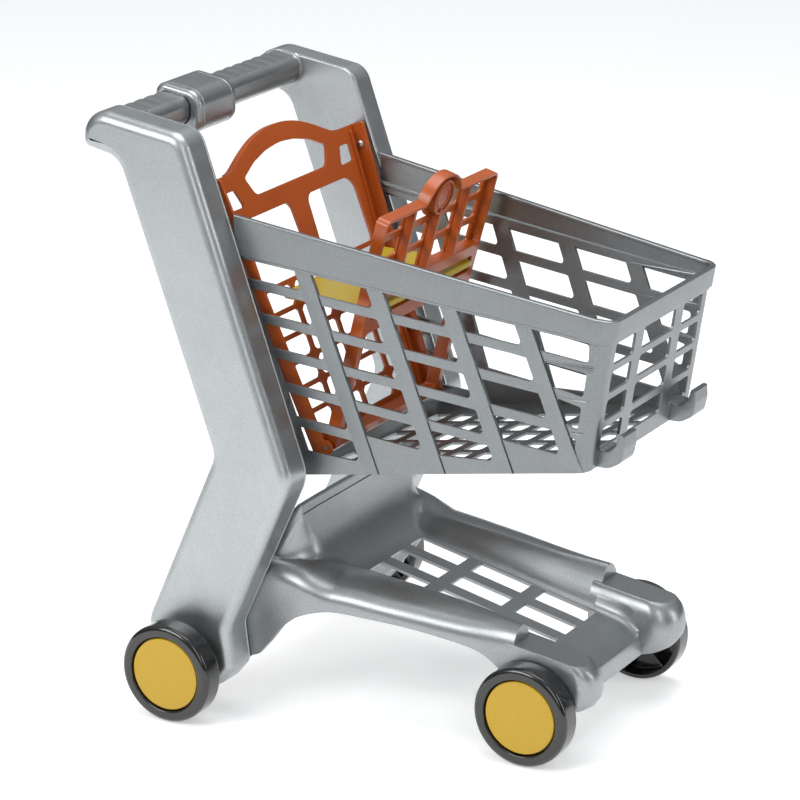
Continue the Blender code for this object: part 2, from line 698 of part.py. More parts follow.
def tray_floor_z(x):
    """Top of the tray's sunken floor, with the ramp at its rear and the lip at its front."""
    plane = 121.9 - 0.2168 * (x - 125.7)
    if x < 124.0:
        t = (124.0 - x) / 36.0
        plane += 60.0 * t ** 1.7
    if x > 326.0:
        plane -= 0.018 * (x - 326.0) ** 2
    return plane


def rail_top_z(x):
    """Ridge of a side rail: a shoulder at the rear, a straight fall, and the step down to the cap."""
    if x < 118.0:
        return 129.5 + 12.0 * math.sin(math.pi / 2.0 * min(1.0, (118.0 - x) / 26.0))
    if x < 305.0:
        return 129.5 - 0.108 * (x - 118.0)
    return 99.5 - 0.09 * (x - 305.0)


def rail_low_z(x):
    """Lower edge of the tray's side wall."""
    if x < 108.0:
        return 101.0 - 0.9 * (108.0 - x)
    if x < 262.0:
        return 101.0 + 4.0 * math.sin(math.pi * (x - 108.0) / 160.0) - 0.05 * (x - 108.0)
    if x < 290.0:
        return 93.5 - 0.036 * (x - 262.0) ** 2
    return max(65.0 - 2.2 * (x - 290.0), 28.0) if x < 345.0 else 28.0 + 1.05 * (x - 345.0)


def tray_section(x):
    """Half of the tray's top line at one x, from the middle of the floor to the wall's foot."""
    yr, zr, zf = rail_y(x), rail_top_z(x), tray_floor_z(x)
    points = [(0.0, zf)]
    for y in (WINDOW_Y[1][1], WINDOW_Y[2][0], WINDOW_Y[2][1]):
        points.append((y, zf))
    inner = min(zr, zf)
    foot_y = yr - RAIL_HALF - 9.0
    rise = zr - zf
    points.append((foot_y, zf + 0.05 * rise))
    points.append((yr - RAIL_HALF - 1.0, zf + 0.5 * rise))
    points.append((yr - RAIL_HALF * 0.55, zf + 0.9 * rise))
    points.append((yr, zr))
    points.append((yr + RAIL_HALF * 0.62, zr - 3.2))
    limit = 100.9 if x > 280.0 else 200.0
    points.append((min(limit - 0.5, yr + RAIL_HALF * 0.95), zr - 10.0))
    points.append((min(limit, yr + RAIL_HALF), min(zr - 14.0, max(rail_low_z(x) + 4.0, inner - 30.0))))
    points.append((min(limit, yr + RAIL_HALF), rail_low_z(x)))
    return points


def build_base_tray(silver):
    stations = [88.0, 94.0, 101.0, 109.0, 117.0]
    for a, b in WINDOW_X:
        stations += [a, (a + b) / 2.0, b]
    stations += [270.0, 283.0, 296.0, 304.6, 305.4, 316.0, 328.0, 338.0, 348.0, 357.0]
    stations = sorted(set(stations))

    def sheet(bm):
        rows = []
        for x in stations:
            half = tray_section(x)
            line = [(-y, z) for y, z in reversed(half[1:])] + half
            rows.append([bm.verts.new(mm(x, y, z)) for y, z in line])
        count = len(rows[0])
        for i in range(len(rows) - 1):
            xa, xb = stations[i], stations[i + 1]
            in_x = any(a - 0.1 <= xa and xb <= b + 0.1 for a, b in WINDOW_X)
            for j in range(count - 1):
                ya, yb = rows[i][j].co.y * 1000.0, rows[i][j + 1].co.y * 1000.0
                if in_x and any(a - 0.1 <= ya and yb <= b + 0.1 for a, b in WINDOW_Y):
                    continue
                bm.faces.new((rows[i][j], rows[i][j + 1], rows[i + 1][j + 1], rows[i + 1][j]))
    tray = new_object("base_tray", sheet, silver)
    thick = tray.modifiers.new("thickness", "SOLIDIFY")
    thick.thickness = TRAY_T / 1000.0
    thick.offset = -1.0
    thick.use_even_offset = False
    graph = bpy.context.evaluated_depsgraph_get()
    done = bpy.data.meshes.new_from_object(tray.evaluated_get(graph))
    tray.modifiers.remove(thick)
    tray.data = done
    return tray


def build_base_legs(tray):
    leg = filleted([(88.0, 186.0, 2), (104.0, 128.0, 0), (104.0, 99.0, 0), (90.0, 92.4, 6), (70.0, 69.6, 6),
                    (48.0, 49.0, 6), (30.0, 33.0, 6), (9.0, 24.7, 8), (-14.0, 27.0, 12), (-22.0, 46.0, 12),
                    (-4.0, 86.0, 10), (60.0, 190.0, 4)], steps=2)
    for sign in (-1.0, 1.0):
        union(tray, plate_xz("leg", leg, sign * (UPRIGHT_IN_Y - GAP - LEG_T), sign * (UPRIGHT_IN_Y - GAP)))
        cut(tray, *[rod("bore", (x, sign * 115.0, z), (x, sign * 130.0, z), SCREW_SHANK_R + 0.4, segments=8)
                    for x, z in TRAY_SCREWS])
        nose = filleted([(346.0, 92.0, 0), (368.0, 93.0, 6), (380.0, 78.0, 8), (378.0, 60.0, 4), (364.0, 50.0, 6),
                         (345.0, 40.0, 6), (345.0, 60.0, 0)], steps=2)
        union(tray, plate_xz("nose", nose, sign * 73.0, sign * 98.0))
        union(tray, rod("hub", (WHEELBASE, sign * 84.0, AXLE_Z), (WHEELBASE, sign * 100.9, AXLE_Z), 10.0,
                        segments=18))
    tray_front = plate_xz("lip", [Vector(p) for p in ((354.0, 62.0), (358.0, 62.0), (358.0, 55.0), (354.0, 55.0))],
                          -84.0, 84.0)
    union(tray, tray_front)
    cut(tray, rod("bore", (WHEELBASE, -140.0, AXLE_Z), (WHEELBASE, 140.0, AXLE_Z), AXLE_R + 0.3, segments=16))
    cut(tray, rod("bore", (0.0, -140.0, AXLE_Z), (0.0, 140.0, AXLE_Z), AXLE_R + 0.3, segments=16))
    return tray


# ---------------------------------------------------------------- wheels
WHEEL_SEGMENTS = 24
CAP_FACE = WHEEL_W / 2.0 - 1.2                     # outer face of a hub cap, from the middle of the tread
WEB_OUT = WHEEL_W / 2.0 - 5.0                      # outer face of a wheel's web
WEB_T = 3.0


def wheel_profile(y_mid):
    """Closed (radius, y) outline of a wheel: a shallow well outside, a deep hollow inside."""
    half, r = WHEEL_W / 2.0, WHEEL_R
    bore, hub, well, hollow = AXLE_R + 0.3, 7.5, HUB_CAP_R + 0.6, WHEEL_R - 5.0
    pts = [(bore, -half), (hub, -half), (hub, WEB_OUT - WEB_T), (hollow, WEB_OUT - WEB_T), (hollow, -half),
           (r - 2.4, -half), (r, -half + 2.4), (r, half - 5.5), (r - 1.4, half - 1.8), (r - 4.5, half),
           (well + 1.0, half - 0.4), (well, half - 1.8), (well, WEB_OUT), (bore, WEB_OUT)]
    return [(radius, y_mid + y) for radius, y in pts]


def build_wheel(label, x, y_mid, side, black, yellow, steel):
    wheel = turned("wheel_" + label, wheel_profile(y_mid), x, AXLE_Z, side, black, WHEEL_SEGMENTS)
    web_out, face = y_mid + WEB_OUT, y_mid + CAP_FACE
    slots, prongs = [], []
    for k in range(3):
        a = 2.0 * math.pi * k / 3.0 - math.pi / 2.0
        cx, cz = x + 25.0 * math.cos(a), AXLE_Z + 25.0 * math.sin(a)
        slots.append(block("slot", cx, cz, a, 3.6, 8.6, side, web_out - 6.0, web_out + 1.0))
        prongs.append(block("prong", cx, cz, a, 2.4, 7.4, side, web_out - 5.0, web_out + 1.6))
    cut(wheel, one_mesh("slots", slots))

    profile = [(6.6, face - 2.2), (6.6, web_out + GAP), (HUB_CAP_R, web_out + GAP), (HUB_CAP_R, face - 0.8),
               (HUB_CAP_R - 0.8, face)]

    def cap(bm):
        loft(bm, [[mm(x + r * math.cos(2.0 * math.pi * k / WHEEL_SEGMENTS), side * y,
                      AXLE_Z + r * math.sin(2.0 * math.pi * k / WHEEL_SEGMENTS)) for k in range(WHEEL_SEGMENTS)]
                  for r, y in profile])
    hub_cap = new_object("hub_cap_" + label, cap, yellow)
    union(hub_cap, *prongs)
    nut = turned("push_nut_" + label, [(AXLE_R + 0.25, web_out + GAP), (6.1, web_out + GAP), (5.6, web_out + 1.2),
                                       (AXLE_R + 0.25, web_out + 1.2)], x, AXLE_Z, side, steel, 12)
    return [wheel, hub_cap, nut]


def block(name, cx, cz, angle, radial, around, side, y0, y1):
    """A small block near (cx, cz), set square to the radius at angle."""
    u = Vector((math.cos(angle), math.sin(angle)))
    v = Vector((-u.y, u.x))
    corners = [Vector((cx, cz)) + u * (sr * radial / 2.0) + v * (sa * around / 2.0)
               for sr, sa in ((-1, -1), (1, -1), (1, 1), (-1, 1))]
    return plate_xz(name, corners, side * y0, side * y1)


def build_axles(steel):
    made = []
    for label, x, y_mid in (("rear", 0.0, REAR_WHEEL_Y), ("front", WHEELBASE, FRONT_WHEEL_Y)):
        reach = y_mid + WEB_OUT + 1.3
        made.append(rod("axle_" + label, (x, -reach, AXLE_Z), (x, reach, AXLE_Z), AXLE_R, steel, segments=16))
    return made


def main():
    for obj in list(bpy.data.objects):
        bpy.data.objects.remove(obj)
    silver = material("silver_plastic", SILVER, 0.38, 0.55)
    orange = material("orange_plastic", ORANGE, 0.35)
    yellow = material("yellow_plastic", YELLOW, 0.35)
    black = material("black_plastic", BLACK, 0.2)
    steel = material("steel", STEEL, 0.3, 1.0)
    made = []
    for side_name, side in (("right", -1.0), ("left", 1.0)):
        made += build_upright(side_name, side, silver, steel)
    made += build_handle(silver, steel)
    made += build_basket(silver)
    made.append(build_seat_back(orange))
    made.append(build_seat_front(orange))
    made.append(build_seat_pan(yellow))
    made.append(build_seat_rod(steel))
    made += build_seat_screws(steel)
    made.append(build_base_legs(build_base_tray(silver)))
    for side_name, side in (("right", -1.0), ("left", 1.0)):
        made += screw_set("basket_screw", side_name, side, BASKET_SCREWS, lambda x, z: side_y(x, z) - WALL - 0.6,
                          30.0 - 4.0, steel)
        made += screw_set("tray_screw", side_name, side, TRAY_SCREWS, lambda x, z: UPRIGHT_IN_Y - GAP - LEG_T, 17.0,
                          steel)
        made += build_wheel("rear_" + side_name, 0.0, REAR_WHEEL_Y, side, black, yellow, steel)
        made += build_wheel("front_" + side_name, WHEELBASE, FRONT_WHEEL_Y, side, black, yellow, steel)
    made += build_axles(steel)
    for obj in made:
        shade(obj)


main()
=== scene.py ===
"""Looks of the toy shopping cart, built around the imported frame.

Measures are millimetres from the point of the floor under the rear axle; mm() turns them into
metres in the row's frame.  +X is the rolling direction, +Y the cart's left side, +Z up.
"""
from math import acos, atan2, cos, pi, radians, sin, sqrt, tan

import bmesh
import bpy
from mathutils import Matrix, Vector


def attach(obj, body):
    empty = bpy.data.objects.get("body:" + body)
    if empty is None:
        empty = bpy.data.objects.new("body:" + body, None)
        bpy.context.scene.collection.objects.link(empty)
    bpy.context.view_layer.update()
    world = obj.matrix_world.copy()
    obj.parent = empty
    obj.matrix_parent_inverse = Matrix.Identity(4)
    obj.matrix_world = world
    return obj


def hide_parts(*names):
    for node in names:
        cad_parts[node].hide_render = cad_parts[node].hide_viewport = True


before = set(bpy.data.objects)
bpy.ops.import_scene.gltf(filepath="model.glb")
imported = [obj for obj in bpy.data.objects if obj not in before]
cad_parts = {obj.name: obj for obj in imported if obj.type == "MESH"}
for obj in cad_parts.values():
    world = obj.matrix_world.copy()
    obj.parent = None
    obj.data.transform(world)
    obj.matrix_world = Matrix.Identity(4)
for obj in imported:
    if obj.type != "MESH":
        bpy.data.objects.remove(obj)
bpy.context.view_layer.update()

REAR_AXLE_X = -152
WHEELBASE = 322
WHEEL_R, WHEEL_W, AXLE_Z = 46, 23, 46
REAR_WHEEL_Y, FRONT_WHEEL_Y = 186, 113
HUB_CAP_R = 34
AXLE_BORE_R = 3.8
UPRIGHT_IN_Y, UPRIGHT_OUT_Y = 126.5, 160.5
LEAN = 0.349
HANDLE_X, HANDLE_Z = -64.5, 531
GAP = 0.35
CORNER_R = 11
SIDES = (("right", -1), ("left", 1))


# ---- small tools
def mm(x, y, z):
    """A point in metres, in the row's frame."""
    return Vector(((x + REAR_AXLE_X) / 1000, y / 1000, z / 1000))


def finish_mesh(obj, mat, body, sharp=38):
    """Material, smooth shading that keeps flat faces flat, and the body the piece rides on."""
    obj.data.materials.clear()
    obj.data.materials.append(mat)
    obj.data.shade_smooth()
    obj.data.set_sharp_from_angle(angle=radians(sharp))
    weighted = obj.modifiers.new("flat_faces", "WEIGHTED_NORMAL")
    weighted.keep_sharp = True
    weighted.weight = 80
    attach(obj, body)


def object_in_scene(name, data):
    obj = bpy.data.objects.new(name, data)
    bpy.context.scene.collection.objects.link(obj)
    return obj


def object_from(name, bm):
    """An object from a bmesh, which is used up."""
    mesh = bpy.data.meshes.new(name)
    bm.to_mesh(mesh)
    bm.free()
    return object_in_scene(name, mesh)


def outward(name, bm):
    """The same, with its faces turned outwards."""
    bmesh.ops.recalc_face_normals(bm, faces=bm.faces)
    return object_from(name, bm)


def lofted(name, rings, closed=False):
    """Faces from ring to ring.  Closed rings run round to the first one; others are capped."""
    bm = bmesh.new()
    loops = [[bm.verts.new(p) for p in ring] for ring in rings]
    count = len(loops[0])
    pairs = list(zip(loops, loops[1:]))
    if closed:
        pairs.append((loops[-1], loops[0]))
    for a, b in pairs:
        for i in range(count):
            j = (i + 1) % count
            bm.faces.new((a[i], a[j], b[j], b[i]))
    if not closed:
        bm.faces.new(loops[0][::-1])
        bm.faces.new(loops[-1])
    return outward(name, bm)


def filleted(corners, steps=6):
    """Outline points from (u, v, radius) corners: each corner with a radius becomes an arc."""
    points = []
    n = len(corners)
    for i, (u, v, radius) in enumerate(corners):
        here = Vector((u, v))
        if radius <= 0:
            points.append(here)
            continue
        to_prev = (Vector(corners[i - 1][:2]) - here).normalized()
        to_next = (Vector(corners[(i + 1) % n][:2]) - here).normalized()
        half = acos(max(-1, min(1, to_prev.dot(to_next)))) / 2
        reach = radius / tan(half)
        centre = here + (to_prev + to_next).normalized() * (radius / sin(half))
        start = here + to_prev * reach - centre
        end = here + to_next * reach - centre
        a0 = atan2(start.y, start.x)
        sweep = atan2(end.y, end.x) - a0
        sweep = (sweep + pi) % (2 * pi) - pi
        for k in range(steps + 1):
            a = a0 + sweep * k / steps
            points.append(centre + Vector((cos(a), sin(a))) * radius)
    return points


def circle(radius, height, count):
    """Points of a circle about (0, height)."""
    angles = [2 * pi * k / count for k in range(count)]
    return [Vector((cos(a) * radius, height + sin(a) * radius)) for a in angles]


def mirrored(points):
    """The same line on the other side of u = 0, run the other way."""
    return [Vector((-p[0], p[1])) for p in reversed(points)]


def inset(points, distance):
    """An outline drawn in by a distance, or out by a negative one."""
    area = sum(p.cross(q) for p, q in zip(points, points[1:] + points[:1]))
    side = 1 if area > 0 else -1
    out = []
    n = len(points)
    for i, p in enumerate(points):
        a = (p - points[i - 1]).normalized()
        b = (points[(i + 1) % n] - p).normalized()
        na, nb = Vector((-a.y, a.x)) * side, Vector((-b.y, b.x)) * side
        mean = (na + nb).normalized()
        out.append(p + mean * (distance / max(0.35, mean.dot(na))))
    return out


def plate(name, outlines, thickness, bevel, place, cuts=()):
    """A flat plate with openings and rounded edges.

    outlines are (u, v): first the outside, then the openings.  place(u, v, w) gives the point in
    metres, with w across the thickness.  cuts are (point, normal) lines along which the plate gets
    extra edges, so that place() can bend it."""
    curve = bpy.data.curves.new(name, "CURVE")
    curve.dimensions = "2D"
    curve.fill_mode = "BOTH"
    curve.extrude = thickness / 2 - bevel
    curve.bevel_depth = bevel
    curve.bevel_resolution = 1
    curve.offset = -bevel
    for outline in outlines:
        spline = curve.splines.new("POLY")
        spline.points.add(len(outline) - 1)
        for point, p in zip(spline.points, outline):
            point.co = (p[0], p[1], 0, 1)
        spline.use_cyclic_u = True
    made = object_in_scene(name, curve)
    graph = bpy.context.evaluated_depsgraph_get()
    mesh = bpy.data.meshes.new_from_object(made.evaluated_get(graph))
    bpy.data.objects.remove(made)
    bpy.data.curves.remove(curve)
    bm = bmesh.new()
    bm.from_mesh(mesh)
    bpy.data.meshes.remove(mesh)
    bmesh.ops.remove_doubles(bm, verts=bm.verts, dist=0.001)
    for point, normal in cuts:
        bmesh.ops.bisect_plane(bm, geom=list(bm.verts) + list(bm.edges) + list(bm.faces),
                               dist=0.0001, plane_co=(*point, 0), plane_no=(*normal, 0))
    for v in bm.verts:
        v.co = place(v.co.x, v.co.y, v.co.z)
    return outward(name, bm)


def join(name, objects):
    """One object from several."""
    bm = bmesh.new()
    for obj in objects:
        bm.from_mesh(obj.data)
        bpy.data.objects.remove(obj)
    return object_from(name, bm)


def turned(name, profile, x, z, y_mid, side, segments=96):
    """A ring turned about a Y axis from a profile of (radius, y)."""
    rings = []
    for k in range(segments):
        a = 2 * pi * k / segments
        rings.append([mm(x + r * cos(a), side * (y_mid + y), z + r * sin(a)) for r, y in profile])
    return lofted(name, rings, closed=True)


def smooth_line(points, per):
    """A Catmull-Rom line through points of any size, with per points from each to the next."""
    def blend(a, b, c, d, t):
        return 0.5 * (2 * b + (c - a) * t + (2 * a - 5 * b + 4 * c - d) * t * t
                      + (3 * b - a - 3 * c + d) * t ** 3)

    last = len(points) - 1
    out = []
    for i in range(last):
        around = (points[max(i - 1, 0)], points[i], points[i + 1], points[min(i + 2, last)])
        for k in range(per):
            out.append(tuple(blend(*values, k / per) for values in zip(*around)))
    out.append(tuple(points[-1]))
    return out


def along(table, x):
    """Smooth value at x from a table of (x, value)."""
    if x <= table[0][0]:
        return table[0][1]
    for (xa, va), (xb, vb) in zip(table, table[1:]):
        if x <= xb:
            i = table.index((xa, va))
            before = table[i - 1] if i else (xa, va)
            after = table[i + 2] if i + 2 < len(table) else (xb, vb)
            ma = (vb - before[1]) / max(1e-6, xb - before[0])
            mb = (after[1] - va) / max(1e-6, after[0] - xa)
            h = xb - xa
            t = (x - xa) / h
            return ((2 * t ** 3 - 3 * t ** 2 + 1) * va + (t ** 3 - 2 * t ** 2 + t) * h * ma
                    + (-2 * t ** 3 + 3 * t ** 2) * vb + (t ** 3 - t ** 2) * h * mb)
    return table[-1][1]


# ---- materials
FLOW_SCALE, CLOUD_SCALE, SPECK_SCALE, GRAIN_SCALE, WAVE_SCALE = 9, 55, 1500, 2300, 11
SPECK = 0.04  # share by which fine specks change every plastic's colour
SMOOTHER, ROUGHER = 0.035, 0.045  # how far the roughness wanders
WAVE_HEIGHT = 0.0012  # metres, of the slow waves in a moulded face


def set_inputs(node, **values):
    for socket, value in values.items():
        node.inputs[socket].default_value = value
    return node


def spread(nodes, links, source, *limits):
    """Carries the range limits[0] to limits[1] of a value over to limits[2] to limits[3]."""
    made = nodes.new("ShaderNodeMapRange")
    for socket, limit in zip(("From Min", "From Max", "To Min", "To Max"), limits):
        made.inputs[socket].default_value = limit
    links.new(source, made.inputs["Value"])
    return made.outputs["Result"]


def plastic(name, colour, rough, metallic=0, coat=0, grain=0.04, flake=0, tint=0.05):
    """Moulded plastic: grain in mm, slow flow marks by tint, and metal flake where flake is set."""
    mat = bpy.data.materials.new(name)
    mat.use_nodes = True
    nodes, links = mat.node_tree.nodes, mat.node_tree.links
    shader = set_inputs(nodes["Principled BSDF"], Metallic=metallic)
    shader.inputs["Coat Weight"].default_value = coat
    shader.inputs["Coat Roughness"].default_value = 0.16
    where = nodes.new("ShaderNodeTexCoord")

    def noise(scale, detail, roughness=0.5):
        made = set_inputs(nodes.new("ShaderNodeTexNoise"), Scale=scale, Detail=detail, Roughness=roughness)
        links.new(where.outputs["Object"], made.inputs["Vector"])
        return made.outputs["Fac"]

    def multiply(colour_socket, factor_socket):
        made = nodes.new("ShaderNodeVectorMath")
        made.operation = "SCALE"
        links.new(colour_socket, made.inputs[0])
        links.new(factor_socket, made.inputs["Scale"])
        return made.outputs["Vector"]

    def bump(height, distance):
        made = set_inputs(nodes.new("ShaderNodeBump"), Strength=1, Distance=distance)
        links.new(height, made.inputs["Height"])
        return made

    base = nodes.new("ShaderNodeRGB")
    base.outputs[0].default_value = (*colour, 1)
    flow = noise(FLOW_SCALE, 3)
    speck = noise(SPECK_SCALE, 2, 0.6)
    cloud = noise(CLOUD_SCALE, 4, 0.6)
    flow = spread(nodes, links, flow, 0.3, 0.7, 1 - tint, 1 + tint)
    speck = spread(nodes, links, speck, 0.35, 0.65, 1 - SPECK - flake, 1 + SPECK + flake)
    cloud = spread(nodes, links, cloud, 0.3, 0.7, rough - SMOOTHER, rough + ROUGHER)
    links.new(multiply(multiply(base.outputs[0], flow), speck), shader.inputs["Base Color"])
    links.new(cloud, shader.inputs["Roughness"])
    fine = bump(noise(GRAIN_SCALE, 3, 0.65), grain / 1000)
    wide = bump(noise(WAVE_SCALE, 1), WAVE_HEIGHT)
    links.new(wide.outputs["Normal"], fine.inputs["Normal"])
    links.new(fine.outputs["Normal"], shader.inputs["Normal"])
    return mat


silver_look = dict(metallic=0.9, coat=0.2, grain=0.02, flake=0.12, tint=0.03)
silver = plastic("silver_plastic", (0.40, 0.42, 0.43), 0.38, **silver_look)
# a darker copy of the one silver paint for the tray and handle: painted shade, not a different paint
tray_silver_painted_shade = plastic("tray_silver_plastic", (0.31, 0.325, 0.335), 0.36, **silver_look)
# a still darker copy of the same silver paint for the basket: painted shade, not the basket's own colour
basket_silver_painted_shade = plastic("basket_silver_plastic", (0.215, 0.228, 0.235), 0.36, **silver_look)
orange = plastic("orange_plastic", (0.38, 0.070, 0.006), 0.34, coat=0.12, grain=0.012, tint=0.06)
pan_yellow = plastic("pan_yellow_plastic", (0.46, 0.33, 0.020), 0.34, coat=0.12, grain=0.012)
cap_yellow = plastic("cap_yellow_plastic", (0.47, 0.29, 0.011), 0.42, coat=0.05, grain=0.05,
                     flake=0.05, tint=0.02)
black = plastic("black_plastic", (0.006, 0.006, 0.0065), 0.17, coat=0.5, grain=0.006, tint=0.1)
steel = plastic("zinc_steel", (0.52, 0.52, 0.53), 0.30, metallic=1, grain=0.01)


# ---- uprights
UPRIGHT = [
    (-98.9, 550.7, 24), (6, 535.5, 20), (112, 234, 34), (43.5, 84, 14), (48, 46, 12), (30, 24.5, 16),
    (-22, 24.5, 22), (-45, 76, 22), (31, 247.5, 26), (-62.8, 506.5, 22), (-98.9, 513.8, 8)]
UPRIGHT_EDGE_R = 10.5
EDGE_STEPS = 12
COVER_DEPTH = 2.6
COVER_RINGS = ((0, 1.4), (0.4, 0.45), (1.4, 0), (2.1, 0), (COVER_DEPTH, 0.5))  # (depth, inset)
# (radius, y from the outer face) of the boss that the rear axle runs through
AXLE_BOSS = [(AXLE_BORE_R, -8), (AXLE_BORE_R, 12.3), (4.4, 12.5), (10.2, 12.5), (11, 11.7), (11, -8)]


def front_line_x(z):
    """Where the uprights' front edge stands above their knee."""
    return 31 + LEAN * (464 - z)


def build_upright(side_name, side):
    """An outer shell with rounded edges, and the flat cover that closes it towards the basket."""
    outline = filleted(UPRIGHT, steps=12)
    seam = UPRIGHT_IN_Y + COVER_DEPTH + GAP
    rings = [[mm(p.x, side * seam, p.y) for p in inset(outline, 0.5)],
             [mm(p.x, side * (seam + 0.5), p.y) for p in outline]]
    for k in range(EDGE_STEPS + 1):
        a = pi / 2 * k / EDGE_STEPS
        y = UPRIGHT_OUT_Y - UPRIGHT_EDGE_R + UPRIGHT_EDGE_R * sin(a)
        drawn_in = inset(outline, UPRIGHT_EDGE_R * (1 - cos(a)))
        rings.append([mm(p.x, side * y, p.y) for p in drawn_in])
    shell = lofted("upright_outer_" + side_name, rings)
    boss = turned("boss", AXLE_BOSS, 0, AXLE_Z, UPRIGHT_OUT_Y, side, 48)
    shell = join("upright_outer_" + side_name, [shell, boss])
    finish_mesh(shell, silver, "frame")
    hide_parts("upright_shell_" + side_name)

    rings = [[mm(p.x, side * (UPRIGHT_IN_Y + depth), p.y) for p in inset(outline, shrink)]
             for depth, shrink in COVER_RINGS]
    cover = lofted("upright_inner_" + side_name, rings)
    finish_mesh(cover, silver, "frame")
    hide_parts("upright_cover_" + side_name)


# ---- handle
GRIP_SECTION = [(-79.5, 516.5, 12), (-49.5, 516.5, 12), (-49.5, 542, 9), (-79.5, 547.2, 4)]
GRIP_PITCH, GRIP_DEPTH = 16, 1.5
GRIP_REACH = UPRIGHT_IN_Y - GAP
GRIP_STATIONS = 240
GRIP_END_R = 3
RIDGE_FROM, RIDGE_SPAN = 0.55, 0.45  # part of the section that is ridged, by its turn from the crest
SLEEVE_SECTION = [(-87, 508.5, 10), (-39, 508.5, 14), (-39, 547.3, 15), (-87, 554.2, 10)]
# (y, inset) along the sleeve's outside, with a groove near each end, then (y, spare) along its bore
SLEEVE_OUTSIDE = (
    (-61.4, 6.6), (-61.9, 5), (-61.8, 3.6), (-61.2, 2.4), (-60.2, 1.3), (-58.8, 0.5), (-57, 0),
    (-54.6, 0), (-54.2, 0.5), (-53.6, 0.9), (-53, 0.5), (-52.6, 0), (-8.4, 0), (-8, 0.4), (-7.5, 0.7),
    (-7, 0.4), (-6.6, 0), (-3, 0.1), (-1.6, 0.7), (-0.5, 1.8), (0.2, 3.2), (0.7, 4.8), (0.7, 6.6))
SLEEVE_BORE = ((0.7, 0.9), (-1, 0.4), (-59, 0.4), (-61.4, 0.9))


def build_grip_bar(section):
    """The bar, with finger ridges along its upper rear edge and a fillet at each end."""
    middle = Vector((HANDLE_X, HANDLE_Z))
    crest = (Vector(GRIP_SECTION[-1][:2]) - middle).normalized()
    rings = []
    for i in range(GRIP_STATIONS + 1):
        y = -GRIP_REACH + 2 * GRIP_REACH * i / GRIP_STATIONS
        ridge = 1 - abs(sin(pi * (y + GRIP_REACH) / GRIP_PITCH)) ** 0.5
        end = max(0, GRIP_END_R - (GRIP_REACH - abs(y)))
        fillet = GRIP_END_R - sqrt(max(0, GRIP_END_R ** 2 - end * end))
        ring = []
        for p in section:
            out = (p - middle).normalized()
            turn = out.dot(crest)
            ridged = max(0, turn - RIDGE_FROM) / RIDGE_SPAN
            grow = fillet if turn < 0.5 else 0
            q = p - out * (GRIP_DEPTH * ridge * ridged ** 0.6) + out * grow
            ring.append(mm(q.x, y, q.y))
        rings.append(ring)
    bar = lofted("grip_bar", rings)
    finish_mesh(bar, tray_silver_painted_shade, "frame")
    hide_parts("handle_bar")


def build_grip_sleeve(section):
    """The square sleeve on the middle of the bar."""
    outline = filleted(SLEEVE_SECTION, steps=10)
    rings = [[mm(p.x, y, p.y) for p in inset(outline, shrink)] for y, shrink in SLEEVE_OUTSIDE]
    rings += [[mm(p.x, y, p.y) for p in inset(section, -spare)] for y, spare in SLEEVE_BORE]
    sleeve = lofted("grip_sleeve", rings, closed=True)
    finish_mesh(sleeve, tray_silver_painted_shade, "frame")
    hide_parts("handle_sleeve")


def build_handle():
    section = filleted(GRIP_SECTION, steps=10)
    build_grip_bar(section)
    build_grip_sleeve(section)


# ---- basket
REAR_RIM_X = 30  # where the slopes of the rim and the side walls start
FRONT_TOP_X, FRONT_TOP_Z = 391.5, 394
FLOOR_FRONT_Z = 272
WALL, WALL_EDGE = 2.8, 0.45
ARC = pi * CORNER_R / 2


def side_y(x, z):
    """The side walls narrow towards the front, and towards the bottom, less so near the front."""
    run = x - REAR_RIM_X
    return 123.9 - 0.0605 * run + (0.045 - 0.0001 * run) * (z - 427)


def front_x(z):
    return FRONT_TOP_X + 0.155 * (z - FRONT_TOP_Z)


def floor_z(x):
    return 227 + 0.172 * (x - 93)


def rim_top_z(x):
    return 463.6 - 0.142 * (x - REAR_RIM_X)


def rim_low_z(x):
    return 427.7 - 0.0956 * (x - REAR_RIM_X)


def chart_middle(z):
    """Chart distance of the basket's middle plane from the corner."""
    return -CORNER_R + ARC + side_y(front_x(z), z) - CORNER_R


def chart(q, z, off):
    """A point of the basket's wall: q runs from the right side round the front to the left side."""
    fx = front_x(z)
    sy = side_y(fx, z)
    mirror = -1
    middle = chart_middle(z)
    if q > middle:
        q, mirror = 2 * middle - q, 1
    if q <= -CORNER_R:
        x = fx + q
        return mm(x, mirror * (side_y(x, z) + off), z)
    s = q + CORNER_R
    if s < ARC:
        a = s / CORNER_R
        r = CORNER_R + off
        return mm(fx - CORNER_R + r * sin(a), mirror * (sy - CORNER_R + r * cos(a)), z)
    return mm(fx + off, mirror * (sy - CORNER_R - (s - ARC)), z)


def on_side(x, z):
    """Chart point of the right side wall."""
    return Vector((x - front_x(z), z))


def opposite(points):
    """The same chart points on the other half of the basket."""
    return [Vector((2 * chart_middle(p.y) - p.x, p.y)) for p in points]


BAR_PITCH, BAR_WIDTH = 67.6, 16.5
BARS = [110 + BAR_PITCH * k for k in range(4)]
BAR_DATUM = rim_low_z(BARS[0])  # height at which the bars are BAR_PITCH apart
# slope of the bar behind each column of openings, and of the edge in front of the last one
BAR_SLOPES = (0.352, 0.354, 0.366, 0.378, 0.388)
BAR_STEPS = 14
# (x, outwards) round a bar's section, which runs into the wall along its rear edge
BAR_SECTION = ((-BAR_WIDTH + 0.6, -1.6), (0, -1.6), (0, 0.9), (-0.35, 1.35), (-1, 1.5),
               (-BAR_WIDTH + 0.6, 0))
SIDE_ROWS, ROW_PITCH, ROW_HOLE = 6, 29.7, 20.9
TOP_ROW_DROP = 0.8
BAND = 12  # plain band above the basket's floor
NOSE_BAND = 15  # and behind the front wall
WEDGE_COLUMNS = (2, 3, 4)
FRONT_WINDOWS = ((-84, -46.5), (-31, 31), (46.5, 84))
FRONT_ROWS, FRONT_PITCH, FRONT_HOLE = 4, 25.9, 19.2
REAR_LAP, RIM_LAP = 17, 6  # how far the wall runs behind the uprights' edge and the rim
CORNER_STEPS = 10


